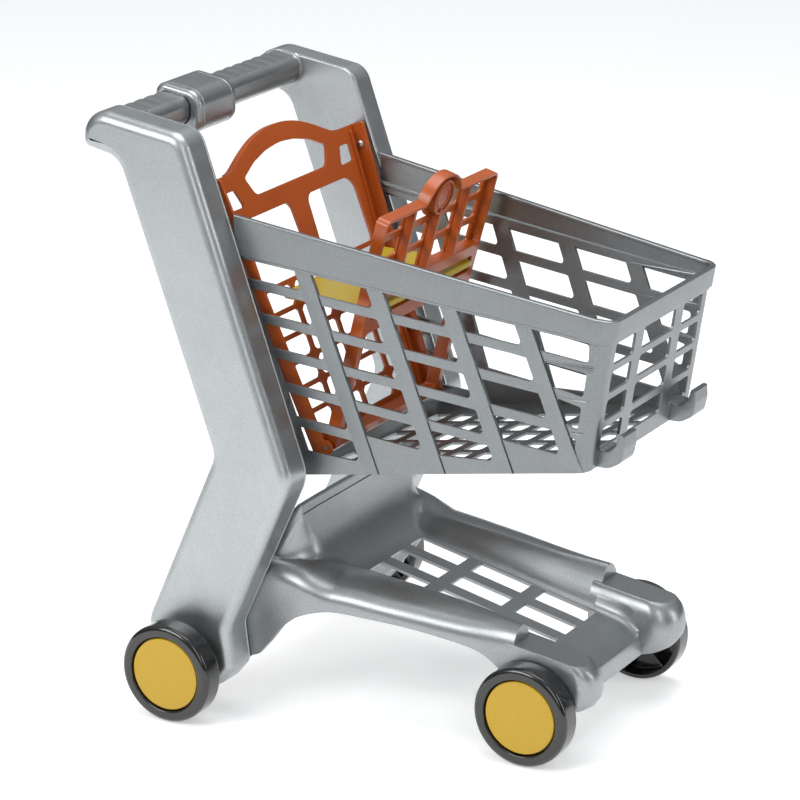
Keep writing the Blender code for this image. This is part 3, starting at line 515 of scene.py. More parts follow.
def opening_corner(x_top, level, slope, last_edge):
    """Where a sloping line from x_top meets a row's edge, which stops at the band above the floor."""
    x, z = x_top, BAR_DATUM
    for _ in range(8):
        z = max(rim_low_z(x) - level, floor_z(x) + BAND)
        x = x_top + slope * (BAR_DATUM - z)
    if last_edge:
        x = min(x, front_x(z) - NOSE_BAND)
    return Vector((x, z))


def side_openings():
    """The right side wall's openings.  The lowest of a column may end in a wedge above the floor."""
    out = []
    for column, bar_x in enumerate([BARS[0] - BAR_PITCH] + BARS):
        rear, front = bar_x + 0.2, bar_x + BAR_PITCH - BAR_WIDTH
        behind, ahead = BAR_SLOPES[column], BAR_SLOPES[min(column + 1, 4)]
        for row in range(SIDE_ROWS):
            top = ROW_PITCH * row + (TOP_ROW_DROP if row == 0 else 0)
            foot = ROW_PITCH * row + ROW_HOLE
            low_rear = opening_corner(rear, foot, behind, False)
            low_front = opening_corner(front, foot, ahead, column == 4)
            high_front = opening_corner(front, top, ahead, column == 4)
            high_rear = opening_corner(rear, top, behind, False)
            tall_rear, tall_front = high_rear.y - low_rear.y, high_front.y - low_front.y
            if tall_rear > 3 and tall_front > 3:
                r = min(3.6, min(tall_rear, tall_front) * 0.3)
                soft = filleted([(*low_rear, 0.8), (*low_front, r), (*high_front, r * 0.7),
                                 (*high_rear, 0.8)], steps=5)
            elif tall_front > 2 and column in WEDGE_COLUMNS:
                wedge = low_front.lerp(low_rear, 0.85)
                soft = filleted([(*wedge, 0.3), (*low_front, 0.8), (*high_front, 0.8)], steps=3)
            else:
                continue
            out.append([on_side(p.x, p.y) for p in soft])
    return out


def front_openings():
    out = []
    for y0, y1 in FRONT_WINDOWS:
        for row in range(FRONT_ROWS):
            z1 = 388.5 - FRONT_PITCH * row
            z0 = z1 - FRONT_HOLE
            soft = filleted([(y, z, 3.5) for y, z in ((y0, z0), (y1, z0), (y1, z1), (y0, z1))], steps=5)
            out.append([Vector((chart_middle(p.y) + p.x, p.y)) for p in soft])
    return out


def wall_outline():
    """Chart outline: back along the right side's foot, up its rear, along under the rim, mirrored."""
    nose_z = floor_z(front_x(FLOOR_FRONT_Z))
    foot = [Vector((-CORNER_R + ARC, nose_z)), Vector((-CORNER_R, nose_z - 2))]
    foot += [on_side(x, floor_z(x)) for x in (330, 250, 150, 76)]
    rear = [on_side(front_line_x(z) - REAR_LAP, z) for z in (280, 340, 410)]
    top = [on_side(front_line_x(434) - REAR_LAP, rim_low_z(52) + RIM_LAP)]
    top += [on_side(x, rim_low_z(x) + RIM_LAP) for x in (150, 250, 350)]
    top += [Vector((-CORNER_R, rim_low_z(376) + RIM_LAP)),
            Vector((-CORNER_R + ARC, rim_low_z(390) + RIM_LAP))]
    right = foot + rear + top
    return right + opposite(right)[::-1]


def basket_wall():
    """The two sides and the front, bent round the corners along cuts across the chart."""
    openings = side_openings()
    holes = openings + [opposite(hole) for hole in openings] + front_openings()
    middle = chart_middle(0)
    slope = (side_y(front_x(400), 400) - side_y(front_x(300), 300)) / 100
    bends = [ARC * k / CORNER_STEPS for k in range(CORNER_STEPS + 1)]
    cuts = [((-CORNER_R + s, 0), (1, 0)) for s in bends]
    cuts.append(((middle, 0), (1, -slope)))
    cuts += [((2 * middle + CORNER_R - s, 0), (1, -2 * slope)) for s in bends]
    return plate("wall", [wall_outline()] + holes, WALL, WALL_EDGE,
                 lambda u, v, w: chart(u, v, w - WALL / 2), cuts)


def basket_bar(bar_x, slope, mirror):
    """A raised sloping bar of a side wall, down to the basket's floor."""
    top_z = rim_low_z(bar_x) + 2
    low_z = floor_z(bar_x + 55) + 0.3
    rings = []
    for i in range(BAR_STEPS + 1):
        z = top_z + (low_z - top_z) * i / BAR_STEPS
        z = max(z, floor_z(bar_x + slope * (BAR_DATUM - z)) + 0.2)
        x = bar_x + slope * (BAR_DATUM - z)
        ring = []
        for dx, off in BAR_SECTION:
            p = on_side(x + dx, z)
            if mirror:
                p = opposite([p])[0]
            ring.append(chart(p.x, p.y, off))
        rings.append(ring)
    return lofted("bar", rings)


# (outwards, share of the rim's height, up) round the rim's section: a bead and a groove outside its
# foot, the rolled top, and a ledge inside
RIM_SECTION = (
    (0.3, 0, -3.4), (0.9, 0, -3.4), (1.3, 0, -3), (1.4, 0, -0.6), (2.9, 0, -0.4), (3.4, 0, 0.2),
    (3.5, 0.5, 0), (3.6, 1, -2.2), (3.4, 1, -0.9), (2.6, 1, -0.2), (1.6, 1, 0), (-0.9, 1, 0),
    (-1.9, 1, -0.3), (-2.4, 1, -1.2), (-2.4, 1, -3), (-1.9, 1, -3.6), (0, 1, -3.9), (0.2, 0.62, 0),
    (0, 0.24, 0.4), (-1.7, 0.2, 0.2), (-2, 0.17, 0), (-1.8, 0.12, 0), (0.1, 0.10, 0))
PAST_MIDDLE = 1e-6  # puts a point of the middle plane on the chart's left half


def rim_ring(kind, value):
    """Chart points round the rim's section at a station of the side, the corner or the front."""
    x = front_x(FRONT_TOP_Z) - CORNER_R
    if kind == "side":
        x = value
    elif kind == "corner":
        x += CORNER_R * sin(value / CORNER_R)
    else:
        x += CORNER_R
    ring = []
    for off, share, up in RIM_SECTION:
        z = rim_low_z(x) + (rim_top_z(x) - rim_low_z(x)) * share + up
        if kind == "side":
            q = min(x - front_x(z), -CORNER_R)
        elif kind == "corner":
            q = -CORNER_R + value
        else:
            q = -CORNER_R + ARC + (chart_middle(z) + CORNER_R - ARC) * value
        ring.append((q, z, off))
    return ring


def basket_rim():
    """The rim, swept along the right side, round the corner to the middle, and mirrored."""
    start = front_line_x(445) + 0.8
    run = front_x(FRONT_TOP_Z) - CORNER_R - start
    right = [rim_ring("side", start + run * i / 20) for i in range(21)]
    right += [rim_ring("corner", ARC * i / 12) for i in range(1, 13)]
    right += [rim_ring("front", i / 3) for i in range(1, 4)]
    rings = [[chart(q, z, off) for q, z, off in ring] for ring in right]
    rings += [[chart(2 * chart_middle(z) - q + PAST_MIDDLE, z, off) for q, z, off in ring]
              for ring in right[-2::-1]]
    return lofted("rim", rings)


FLOOR_REAR_X, FLOOR_REAR_Z = 88, 229
FLOOR_ROWS, FLOOR_COLUMNS = 9, 5
CELL_PITCH_X, CELL_PITCH_Y, CELL_LONG, CELL_WIDE, CELL_SKEW = 27, 30, 17, 23, 0.15


def basket_floor():
    front = front_x(FLOOR_FRONT_Z) - 1.5
    front_half = side_y(front, FLOOR_FRONT_Z) - 1.5
    rear_half = side_y(FLOOR_REAR_X, FLOOR_REAR_Z) - 1.5
    outlines = [filleted([(FLOOR_REAR_X, -rear_half, 0), (front, -front_half, 15),
                          (front, front_half, 15), (FLOOR_REAR_X, rear_half, 0)], steps=8)]
    for row in range(FLOOR_ROWS):
        for column in range(FLOOR_COLUMNS):
            x = 118 + CELL_PITCH_X * row
            y0 = -72 + CELL_PITCH_Y * column
            y1 = y0 + CELL_WIDE
            cell = ((x, y0), (x + CELL_LONG, y0), (x + CELL_LONG, y1), (x, y1))
            outlines.append(filleted([(u + CELL_SKEW * v, v, 2.2) for u, v in cell], steps=3))
    return plate("floor", outlines, WALL, WALL_EDGE, lambda u, v, w: mm(u, v, floor_z(u) + WALL / 2 + w))


HOOK = [
    (362, 290, 2), (363, 275, 5), (384, 275.2, 14), (396, 282.5, 9), (398.6, 296, 6), (398, 307, 1.6),
    (393.4, 307, 1.6), (390.4, 297, 5), (383, 290, 8), (372, 292, 1)]
HOOK_Y, HOOK_WIDTH = 70.5, 25


def build_basket():
    """Wall, raised bars, rim, floor and the two hooks under the front, as one moulding."""
    pieces = [basket_wall()]
    for mirror in (False, True):
        pieces += [basket_bar(x, slope, mirror) for x, slope in zip(BARS, BAR_SLOPES[1:])]
    pieces += [basket_rim(), basket_floor()]
    hook = filleted(HOOK, steps=7)
    for _, side in SIDES:
        pieces.append(plate("hook", [hook], HOOK_WIDTH, 1, lambda u, v, w: mm(u, side * (HOOK_Y + w), v)))
    basket = join("basket_moulding", pieces)
    # the basket takes the darkest copy of the silver, as painted shade
    finish_mesh(basket, basket_silver_painted_shade, "frame")
    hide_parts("basket")


# ---- doll seat
PIVOT_X, PIVOT_Z, BACK_LEAN, FRONT_LEAN = 113, 252, 0.385, 0.272


def panel_place(lean):
    """Places points of a panel that stands on the seat's hinge line: u across, v up it, w out."""
    up = Vector((lean, 0, 1)).normalized()
    across = Vector((0, 1, 0))
    out = across.cross(up)

    def place(u, v, w):
        p = across * u + up * v + out * w
        return mm(PIVOT_X + p.x, p.y, PIVOT_Z + p.z)
    return place


def both_ways(half, middle):
    """A symmetric line from its right half and its middle point."""
    return list(half) + [middle] + [(-p[0], *p[1:]) for p in reversed(half)]


BACK_FOOT, BACK_TOP = -8, 256
BACK_SET = 13.5  # how far the panel's face lies behind the flanges' front edge
FLANGE_DEPTH = 15
ARCH = both_ways(((92, 256.5), (84, 258), (74, 262.5), (58, 270), (38, 277.5), (18, 281.8)), (0, 283))
HAND_HOLE = both_ways(((60, 229.5, 9), (69.5, 247.5, 3), (48, 257.5, 40), (25, 263.5, 60)), (0, 266, 90))
SMALL_WINDOW = [(82.5, 224, 2), (105, 224.5, 3), (106, 241, 2.5), (89.5, 241, 3)]
BIG_WINDOW = [(11, 149.5, 4), (94, 149.5, 4), (94.5, 212.5, 15), (14.5, 212.5, 9)]
LATTICE_V = (11.5, 34.5, 57.5, 80.5, 103.5, 126.5, 149.5)  # upper edges of the crossbars
LATTICE_U = (-51, 0, 51)
CROSSBAR, STEM = 4.4, 5.2
LATTICE_CUT_U, LATTICE_CUT_V = 3.6, 3  # cut corners of the lattice's windows


def back_half(v):
    """Half width of the seat back."""
    return 99.5 + 0.092 * v


def lattice_windows():
    windows = []
    for foot, bar_top in zip(LATTICE_V, LATTICE_V[1:]):
        top = bar_top - CROSSBAR
        edge = back_half(foot) - 15
        spans = [(-edge, LATTICE_U[0] - STEM / 2)]
        spans += [(a + STEM / 2, b - STEM / 2) for a, b in zip(LATTICE_U, LATTICE_U[1:])]
        spans.append((LATTICE_U[-1] + STEM / 2, edge))
        low, high = foot + LATTICE_CUT_V, top - LATTICE_CUT_V
        for a, b in spans:
            a1, b1 = a + LATTICE_CUT_U, b - LATTICE_CUT_U
            cell = ((a, low), (a1, foot), (b1, foot), (b, low), (b, high), (b1, top), (a1, top), (a, high))
            windows.append(filleted([(u, v, 1) for u, v in cell], steps=3))
    return windows


def seat_back_edges(side):
    """The flange, the rib inside it and the lug for the hinge rod, on one side of the seat back."""
    def upright_at(inwards):
        return lambda u, v, w: place(side * (back_half(v) - inwards + w), v, u)

    place = panel_place(-BACK_LEAN)
    flange = filleted([(-FLANGE_DEPTH, BACK_FOOT, 1), (0, BACK_FOOT, 5), (0, BACK_TOP, 3),
                       (-FLANGE_DEPTH, BACK_TOP, 1)], steps=5)
    rib = filleted([(-13, 0, 1), (-9.5, 3, 1), (-9.5, 250, 1), (-13, 252, 1)], steps=2)
    lug = filleted([(-8.5, -6.5, 5), (6, -6.5, 6), (6, 6.5, 6), (-8.5, 6.5, 5)], steps=6)
    lug_u = back_half(0) - 1.6
    return [plate("flange", [flange], 3, 0.5, upright_at(1.5)),
            plate("rib", [rib], 1.6, 0.4, upright_at(10.5)),
            plate("lug", [lug], 2.4, 0.4, lambda u, v, w: place(side * (lug_u + w), v, u))]


def build_seat_back():
    place = panel_place(-BACK_LEAN)
    arch = smooth_line(ARCH, per=5)
    right = filleted([(back_half(BACK_FOOT), BACK_FOOT, 0), (back_half(BACK_TOP), BACK_TOP, 4),
                      (100, BACK_TOP, 0)], 4)
    outline = right + [Vector(p) for p in arch] + mirrored(right)
    small, big = filleted(SMALL_WINDOW, steps=5), filleted(BIG_WINDOW, steps=8)
    windows = [filleted(HAND_HOLE, steps=7), small, mirrored(small), big, mirrored(big)]
    windows += lattice_windows()
    pieces = [plate("face", [outline] + windows, 3, 0.5, lambda u, v, w: place(u, v, w - BACK_SET))]
    for _, side in reversed(SIDES):
        pieces += seat_back_edges(side)
    # a raised lip along the arch, towards the rear
    crown = [Vector(p) for p in arch[1:-1]]
    lip = crown + [Vector((p.x * 0.985, p.y - 2.8)) for p in reversed(crown)]
    pieces.append(plate("lip", [lip], 6, 0.5, lambda u, v, w: place(u, v, w - BACK_SET - 3.5)))
    back = join("seat_back_panel", pieces)
    finish_mesh(back, orange, "frame")
    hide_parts("seat_back")


FRONT_FOOT, FRONT_TOP, FRONT_TOP_INSIDE = -1, 225, 222.4
STILE, FRONT_WALL, FRONT_DEPTH = 9, 2.6, 12
HUMP_U, HUMP_V, HUMP_RISE = 31, 219, 27
HUMP_ANGLES = [radians(13 + 3.85 * k) for k in range(41)]
BADGE_V, BADGE_R = 224, 16.5
RUNG_ROWS = ((153, 172.5), (178.5, 197), (203, 221))
RUNGS_FOOT = 148


def front_half(v):
    """Half width of the seat front."""
    return 93.5 + 0.028 * v


def hump(shrink, angles):
    """The round top over the badge, drawn in by shrink."""
    return [Vector((cos(a) * (HUMP_U - shrink), HUMP_V + sin(a) * (HUMP_RISE - shrink))) for a in angles]


def rung_cells():
    """The openings between the rungs of the seat front's upper part."""
    cells = []
    for foot, top in RUNG_ROWS:
        edge = [front_half(v) - STILE for v in (foot, top)]
        for u0, low_u1, high_u1 in ((3, 45.5, 45.5), (51.5, *edge)):
            cell = filleted([(u0, foot, 2.5), (low_u1, foot, 3.5), (high_u1, top, 3.5),
                             (u0, top, 2.5)], steps=4)
            cells += [cell, mirrored(cell)]
    return cells


def badge(place):
    """A round badge with a rim and a raised ring."""
    def ring(share):
        return circle(BADGE_R * share, BADGE_V, 64)

    return [plate("badge", [ring(1), ring(0.86)], FRONT_DEPTH - 0.6, 0.5, place),
            plate("badge_disc", [ring(0.88)], 9, 0.5, lambda u, v, w: place(u, v, w - 0.4)),
            plate("badge_ring", [ring(0.66), ring(0.54)], 9, 0.4, lambda u, v, w: place(u, v, w + 0.2))]


def build_seat_front():
    """Walls at full depth, the rungs and ribs set back between them, the badge and the hinge barrel."""
    place = panel_place(FRONT_LEAN)
    corner = filleted([(front_half(FRONT_FOOT), FRONT_FOOT, 0), (front_half(FRONT_TOP), FRONT_TOP, 6),
                       (40, FRONT_TOP, 0)], steps=6)[:-1]
    outline = corner + hump(0, HUMP_ANGLES) + mirrored(corner)
    low_u, high_u = front_half(151) - FRONT_WALL, front_half(226) - FRONT_WALL
    start = filleted([(low_u, 151, 2), (high_u, FRONT_TOP_INSIDE, 4), (32, FRONT_TOP_INSIDE, 2),
                      (27, 226, 0)], steps=5)[:-1]
    openings = [start + hump(FRONT_WALL, HUMP_ANGLES[2:-2]) + mirrored(start)]
    for foot, top in ((127, 143), (7, 113)):
        low_u, high_u = front_half(foot) - STILE, front_half(top) - STILE
        openings.append(filleted([(-low_u, foot, 3), (low_u, foot, 3), (high_u, top, 3),
                                  (-high_u, top, 3)], steps=4))
    pieces = [plate("walls", [outline] + openings, FRONT_DEPTH, 0.6, place)]
    foot_u = front_half(RUNGS_FOOT)
    upper = [p for p in outline if p.y > 150]
    rungs = inset([Vector((foot_u, RUNGS_FOOT))] + upper + [Vector((-foot_u, RUNGS_FOOT))], 1.2)
    pieces.append(plate("rungs", [rungs] + rung_cells(), 3, 0.5, lambda u, v, w: place(u, v, w - 4.5)))
    pieces.append(plate("badge_back", [circle(21, BADGE_V, 56)], 3, 0.5,
                        lambda u, v, w: place(u, v, w - 4.4)))
    for rib_u, top in ((0, 212), (48.5, 222), (-48.5, 222)):
        rib = [Vector(p) for p in ((-5.5, 150), (5.6, 150), (5.6, top), (-5.5, top))]
        pieces.append(plate("rib", [rib], 3.6, 0.4, lambda u, v, w: place(rib_u + w, v, u)))
    pieces += badge(place)
    section = circle(5, 0, 32)
    pieces.append(lofted("barrel", [[place(u, p.y, p.x) for p in section] for u in (-92, 92)]))
    panel = join("seat_front_panel", pieces)
    finish_mesh(panel, orange, "seat_front_body")
    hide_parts("seat_front")


PAN_PIVOT_X, PAN_PIVOT_Z = 147.77, 391.26
PAN_REAR_X, PAN_HALF, PAN_Z, PAN_THICK = 60, 86, 381.75, 5.5
EAR_HALF, EAR_Y, EAR_FOOT_Z = 4.5, 85.2, 382.5


def build_seat_pan():
    """The yellow pan and its two ears on the pivot in the seat front."""
    front = PAN_PIVOT_X + 9.5
    outline = filleted([(PAN_REAR_X, -PAN_HALF, 6), (front, -PAN_HALF, 2), (front, PAN_HALF, 2),
                        (PAN_REAR_X, PAN_HALF, 6)], steps=6)
    ear = filleted([(PAN_PIVOT_X - EAR_HALF, EAR_FOOT_Z, 0), (PAN_PIVOT_X + EAR_HALF, EAR_FOOT_Z, 0),
                    (PAN_PIVOT_X + EAR_HALF, PAN_PIVOT_Z + EAR_HALF, 4.4),
                    (PAN_PIVOT_X - EAR_HALF, PAN_PIVOT_Z + EAR_HALF, 4.4)], steps=8)
    pieces = [plate("plate", [outline], PAN_THICK, 1.2, lambda u, v, w: mm(u, v, PAN_Z + w))]
    for _, side in reversed(SIDES):
        pieces.append(plate("ear", [ear], 5.5, 0.5, lambda u, v, w: mm(u, side * (EAR_Y + w), v)))
    pan = join("seat_pan_plate", pieces)
    finish_mesh(pan, pan_yellow, "seat_pan_body")
    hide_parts("seat_pan")


# ---- base tray
WINDOW_X = ((125.5, 177.5), (190.8, 243.2), (256, 308.5))
LANES = (0, 11.2, 25.5, 48)  # edges of the window lanes, from the middle outwards
LANE_EDGE, RAIL_FOOT = 50.5, 51
ARCH_X = 303.5  # where the rails end over the front wheels' caps
SHEET, SHEET_EDGE = 0.0028, 0.0005  # metres
# ridge of the rails, their wall and its lower edge, as (x, value)
RIDGE_Y = [(127, 77), (252, 77), (ARCH_X, 83)]
RIDGE_Z = [(127, 135), (145, 133.8), (175, 130.8), (210, 127.4), (252, 122.6), (ARCH_X, 117)]
WALL_Y = [
    (38, 126.1), (100, 126.1), (112, 124.9), (130, 121.7), (145, 119.6), (177, 116.5), (213, 112.3),
    (252, 107.2), (296, 100.9), (400, 100.9)]
LOW_Z = [
    (38, 41.5), (46, 49.5), (52, 52), (60, 57.5), (74, 76), (88, 90.5), (104, 99.5), (118, 104),
    (131, 106), (158, 105.5), (203, 103), (247, 97), (268, 92), (282, 84), (290, 77), (300, 66),
    (312, 52), (320, 44)]
# (across, up) from the tray's floor to the ridge, as shares of both
RAIL_CURVE = (
    (0.08, 0.02), (0.19, 0.08), (0.33, 0.22), (0.47, 0.41), (0.61, 0.61), (0.74, 0.79), (0.86, 0.92),
    (0.94, 0.98), (1, 1))
SHOULDER_DROP, SHOULDER_STEPS = 20, 8
# behind the floor, up to the cross panel: (floor x, z and half width, shoulder x, z and half width)
RAMP = [
    (119, 124.2, 53, 121, 136, 80), (112, 128.8, 57, 115, 137.6, 84),
    (105.5, 135.8, 63, 109, 139.2, 88.5), (100, 143.8, 71, 103, 140.6, 94),
    (96.2, 152.5, 78, 97, 141.6, 99), (93.6, 162, 85, 90, 142.4, 104), (91.8, 172, 91, 82, 143.2, 108),
    (90.6, 180, 96, 75, 143.8, 111), (90.1, 185.6, 99, 69, 144.2, 113.5),
    (88.9, 186.2, 99.5, 64, 144.5, 114.5), (88.6, 190, 100, 59, 144.6, 115),
    (88.3, 193.8, 100, 54, 144.5, 115.5), (87.2, 195, 100, 50, 144, 116), (85, 195, 100, 46, 143, 116),
    (84, 193.5, 100, 42, 141.5, 116)]
CAP_OUT_Y, CAP_REAR_X = 100.9, 296
# (outwards, up) where the floor turns up beside a cap, and the same points across the nose
WALL_FOOT = ((2.5, 0.7), (5, 2.8), (6.6, 5.6), (7.8, 9.5))
NOSE_ACROSS = (2.5, 5, 6.6, 7.8, 9)
NOSE = ((349.8, 63), (350.6, 58), (351, 52), (351, 46))
# (share of the height, inner y, front x) of a cap over a front wheel, from its foot up
CAP_LEVELS = (
    (0, 60, 364), (0.02, 59, 366), (0.12, 57.4, 372.5), (0.3, 57, 378), (0.5, 57.4, 380),
    (0.68, 58.6, 379.6), (0.8, 60.3, 378), (0.89, 62.4, 375.5), (0.95, 64.6, 372.6), (0.985, 66.4, 370.2),
    (1, 68, 368.4))
# plate by which the tray is screwed to an upright, down to the rear axle
LEG = [
    (96, 118, 6), (108, 106, 6), (97, 97, 10), (82, 84.6, 10), (70, 68.4, 8), (56, 52.2, 8),
    (48, 48.6, 6), (28, 33, 8), (9, 24.7, 10), (-14, 27, 12), (-22, 46, 12), (-4, 86, 10), (34, 118, 10)]
LEG_Y, LEG_THICK = 123.2, 4.6
# (radius, y) of the boss that the front axle runs through
FRONT_BOSS = [(AXLE_BORE_R, 83), (AXLE_BORE_R, 100.8), (4.3, 101.1), (9.4, 101.1), (10, 100.5), (10, 83)]


def tray_floor_z(x):
    """The floor slopes down to the front and bends down behind the nose."""
    plane = 121.9 - 0.2168 * (x - 125.7)
    if x > 324:
        plane -= 0.016 * (x - 324) ** 2
    return plane


def cap_z(x):
    return 103 - 0.15 * (x - 305)


def rounded_side(x, y_top, z_top):
    """The outer shoulder and wall below a top line at (y_top, z_top)."""
    wall, low = along(WALL_Y, x), along(LOW_Z, x)
    points = []
    for k in range(1, SHOULDER_STEPS + 1):
        a = pi / 2 * k / SHOULDER_STEPS
        points.append((x, y_top + (wall - y_top) * sin(a), z_top - SHOULDER_DROP * (1 - cos(a))))
    low = min(low, z_top - SHOULDER_DROP - 3)
    for t in (0.33, 0.66, 1):
        points.append((x, wall, z_top - SHOULDER_DROP + (low - z_top + SHOULDER_DROP) * t))
    return points


def rail_row(x):
    """Half a cross line of the tray: floor, rail, shoulder and outer wall."""
    zf, yr, zr = tray_floor_z(x), along(RIDGE_Y, x), along(RIDGE_Z, x)
    row = [(x, y, zf) for y in LANES] + [(x, LANE_EDGE, zf + 0.1)]
    row += [(x, RAIL_FOOT + a * (yr - RAIL_FOOT), zf + b * (zr - zf)) for a, b in RAIL_CURVE]
    return row + rounded_side(x, yr, zr)


def ramp_row(fx, fz, fy, sx, sz, sy):
    """The same points behind the tray's floor, where it climbs to the cross panel."""
    row = [(fx, y, fz) for y in LANES] + [(fx, LANES[-1] + (fy - LANES[-1]) * 0.5, fz)]
    for a, b in RAIL_CURVE:
        row.append((fx + (sx - fx) * b, fy + (sy - fy) * a, fz + (sz - fz) * b))
    return row + rounded_side(sx, sy, sz)


def front_row(x):
    """Between the caps the tray's floor runs up into their inner walls."""
    zf, zc = tray_floor_z(x), cap_z(x)
    row = [(x, y, zf) for y in LANES] + [(x, LANE_EDGE, zf + 0.1)]
    row += [(x, RAIL_FOOT + a, zf + b) for a, b in WALL_FOOT]
    return row + [(x, 60, min(zf + 16, zc - 8))]


def nose_row(x, z):
    """A level line across the tray's front face."""
    across = LANES + (LANE_EDGE,) + tuple(RAIL_FOOT + a for a in NOSE_ACROSS)
    return [(x, y, z) for y in across]


def in_window(corners):
    """Whether a cell of the tray's floor lies in one of its nine windows."""
    x = sum(c.x for c in corners) / 4
    y = abs(sum(c.y for c in corners) / 4)
    return any(a < x < b for a, b in WINDOW_X) and (y < LANES[1] or LANES[2] < y < LANES[3])


def tray_sheet(name, rows):
    """A sheet over both halves of rows of (x, y, z), open at the windows."""
    bm = bmesh.new()
    grid = []
    for row in rows:
        whole = [(x, -y, z) for x, y, z in reversed(row[1:])] + list(row)
        grid.append([bm.verts.new(p) for p in whole])
    for a, b in zip(grid, grid[1:]):
        for j in range(len(a) - 1):
            corners = (a[j], a[j + 1], b[j + 1], b[j])
            if not in_window([v.co for v in corners]):
                bm.faces.new(corners)
    loose = [v for v in bm.verts if not v.link_faces]
    bmesh.ops.delete(bm, geom=loose, context="VERTS")
    for v in bm.verts:
        v.co = mm(*v.co)
    obj = outward(name, bm)
    thick = obj.modifiers.new("thickness", "SOLIDIFY")
    thick.thickness = SHEET
    thick.offset = -1
    edge = obj.modifiers.new("edges", "BEVEL")
    edge.width = SHEET_EDGE
    edge.segments = 2
    edge.limit_method = "ANGLE"
    edge.angle_limit = radians(50)
    graph = bpy.context.evaluated_depsgraph_get()
    done = bpy.data.meshes.new_from_object(obj.evaluated_get(graph))
    bpy.data.objects.remove(obj)
    return object_in_scene(name, done)


def wheel_cap(side):
    """The rounded cover over a front wheel's inner side."""
    rings = []
    for share, inner, front in CAP_LEVELS:
        outer = CAP_OUT_Y - (0 if share < 0.9 else 0.5) - (0 if share < 0.99 else 1.2)
        wide = outer - inner
        plan = filleted([(CAP_REAR_X, outer, 0), (CAP_REAR_X, inner, 0),
                         (front, inner, min(24, 0.58 * wide)),
                         (front, outer, min(15, 0.36 * wide))], steps=10)
        ring = []
        for p in plan:
            base = 44 + 6 * max(0, (p.y - 57) / 43)
            ring.append(mm(p.x, side * p.y, base + (cap_z(p.x) - base) * share))
        rings.append(ring)
    return lofted("cap", rings)


def rail_end(side):
    """The end wall of a rail, standing over the cap."""
    arch = [Vector((y, z)) for _, y, z in rail_row(ARCH_X) if z > 97.5]
    section = [Vector((arch[0].x - 1.5, 95.5))] + arch + [Vector((CAP_OUT_Y, 95.5))]
    return plate("rail_end", [section], 3, 0.9, lambda u, v, w: mm(ARCH_X - 1.2 + w, side * u, v))


def build_tray():
    """Floor with rails and cross panel, nose, rail ends, wheel caps, legs and front axle bosses."""
    xs = [127, 184.2, 249.5, ARCH_X]
    for a, b in WINDOW_X:
        xs += [a + (b - a) * k / 12 for k in range(13)]
    xs = sorted({round(x, 3) for x in xs if 126.9 < x <= ARCH_X}, reverse=True)
    rows = [rail_row(x) for x in xs] + [ramp_row(*station) for station in RAMP]
    pieces = [tray_sheet("tray_back", rows)]
    xs = [ARCH_X - 0.2, 305.8, 308.5, 312] + [316 + 4 * k for k in range(8)] + [346.5, 348.5]
    rows = [front_row(x) for x in xs] + [nose_row(x, z) for x, z in NOSE]
    pieces.append(tray_sheet("tray_front", rows))
    leg = filleted(LEG, steps=6)
    for _, side in SIDES:
        pieces += [rail_end(side), wheel_cap(side)]
        pieces.append(plate("leg", [leg], LEG_THICK, 0.8, lambda u, v, w: mm(u, side * (LEG_Y + w), v)))
        pieces.append(turned("hub", FRONT_BOSS, WHEELBASE, AXLE_Z, 0, side, 48))
    tray = join("tray_moulding", pieces)
    finish_mesh(tray, tray_silver_painted_shade, "frame", sharp=45)
    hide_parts("base_tray")


# ---- wheels
WEB_SET, WEB = 5, 3  # how deep the wheel's web lies, and its thickness
TYRE, HUB_R = 5, 7.5
RIBS, RIB_HALF, RIB_SHORT = 6, 0.9, 2
PRONGS, PRONG_AT = 3, 25


def spoke_axes(k, count, start):
    """Directions along and across spoke k of a wheel."""
    a = 2 * pi * k / count + start
    return Vector((cos(a), sin(a))), Vector((-sin(a), cos(a)))


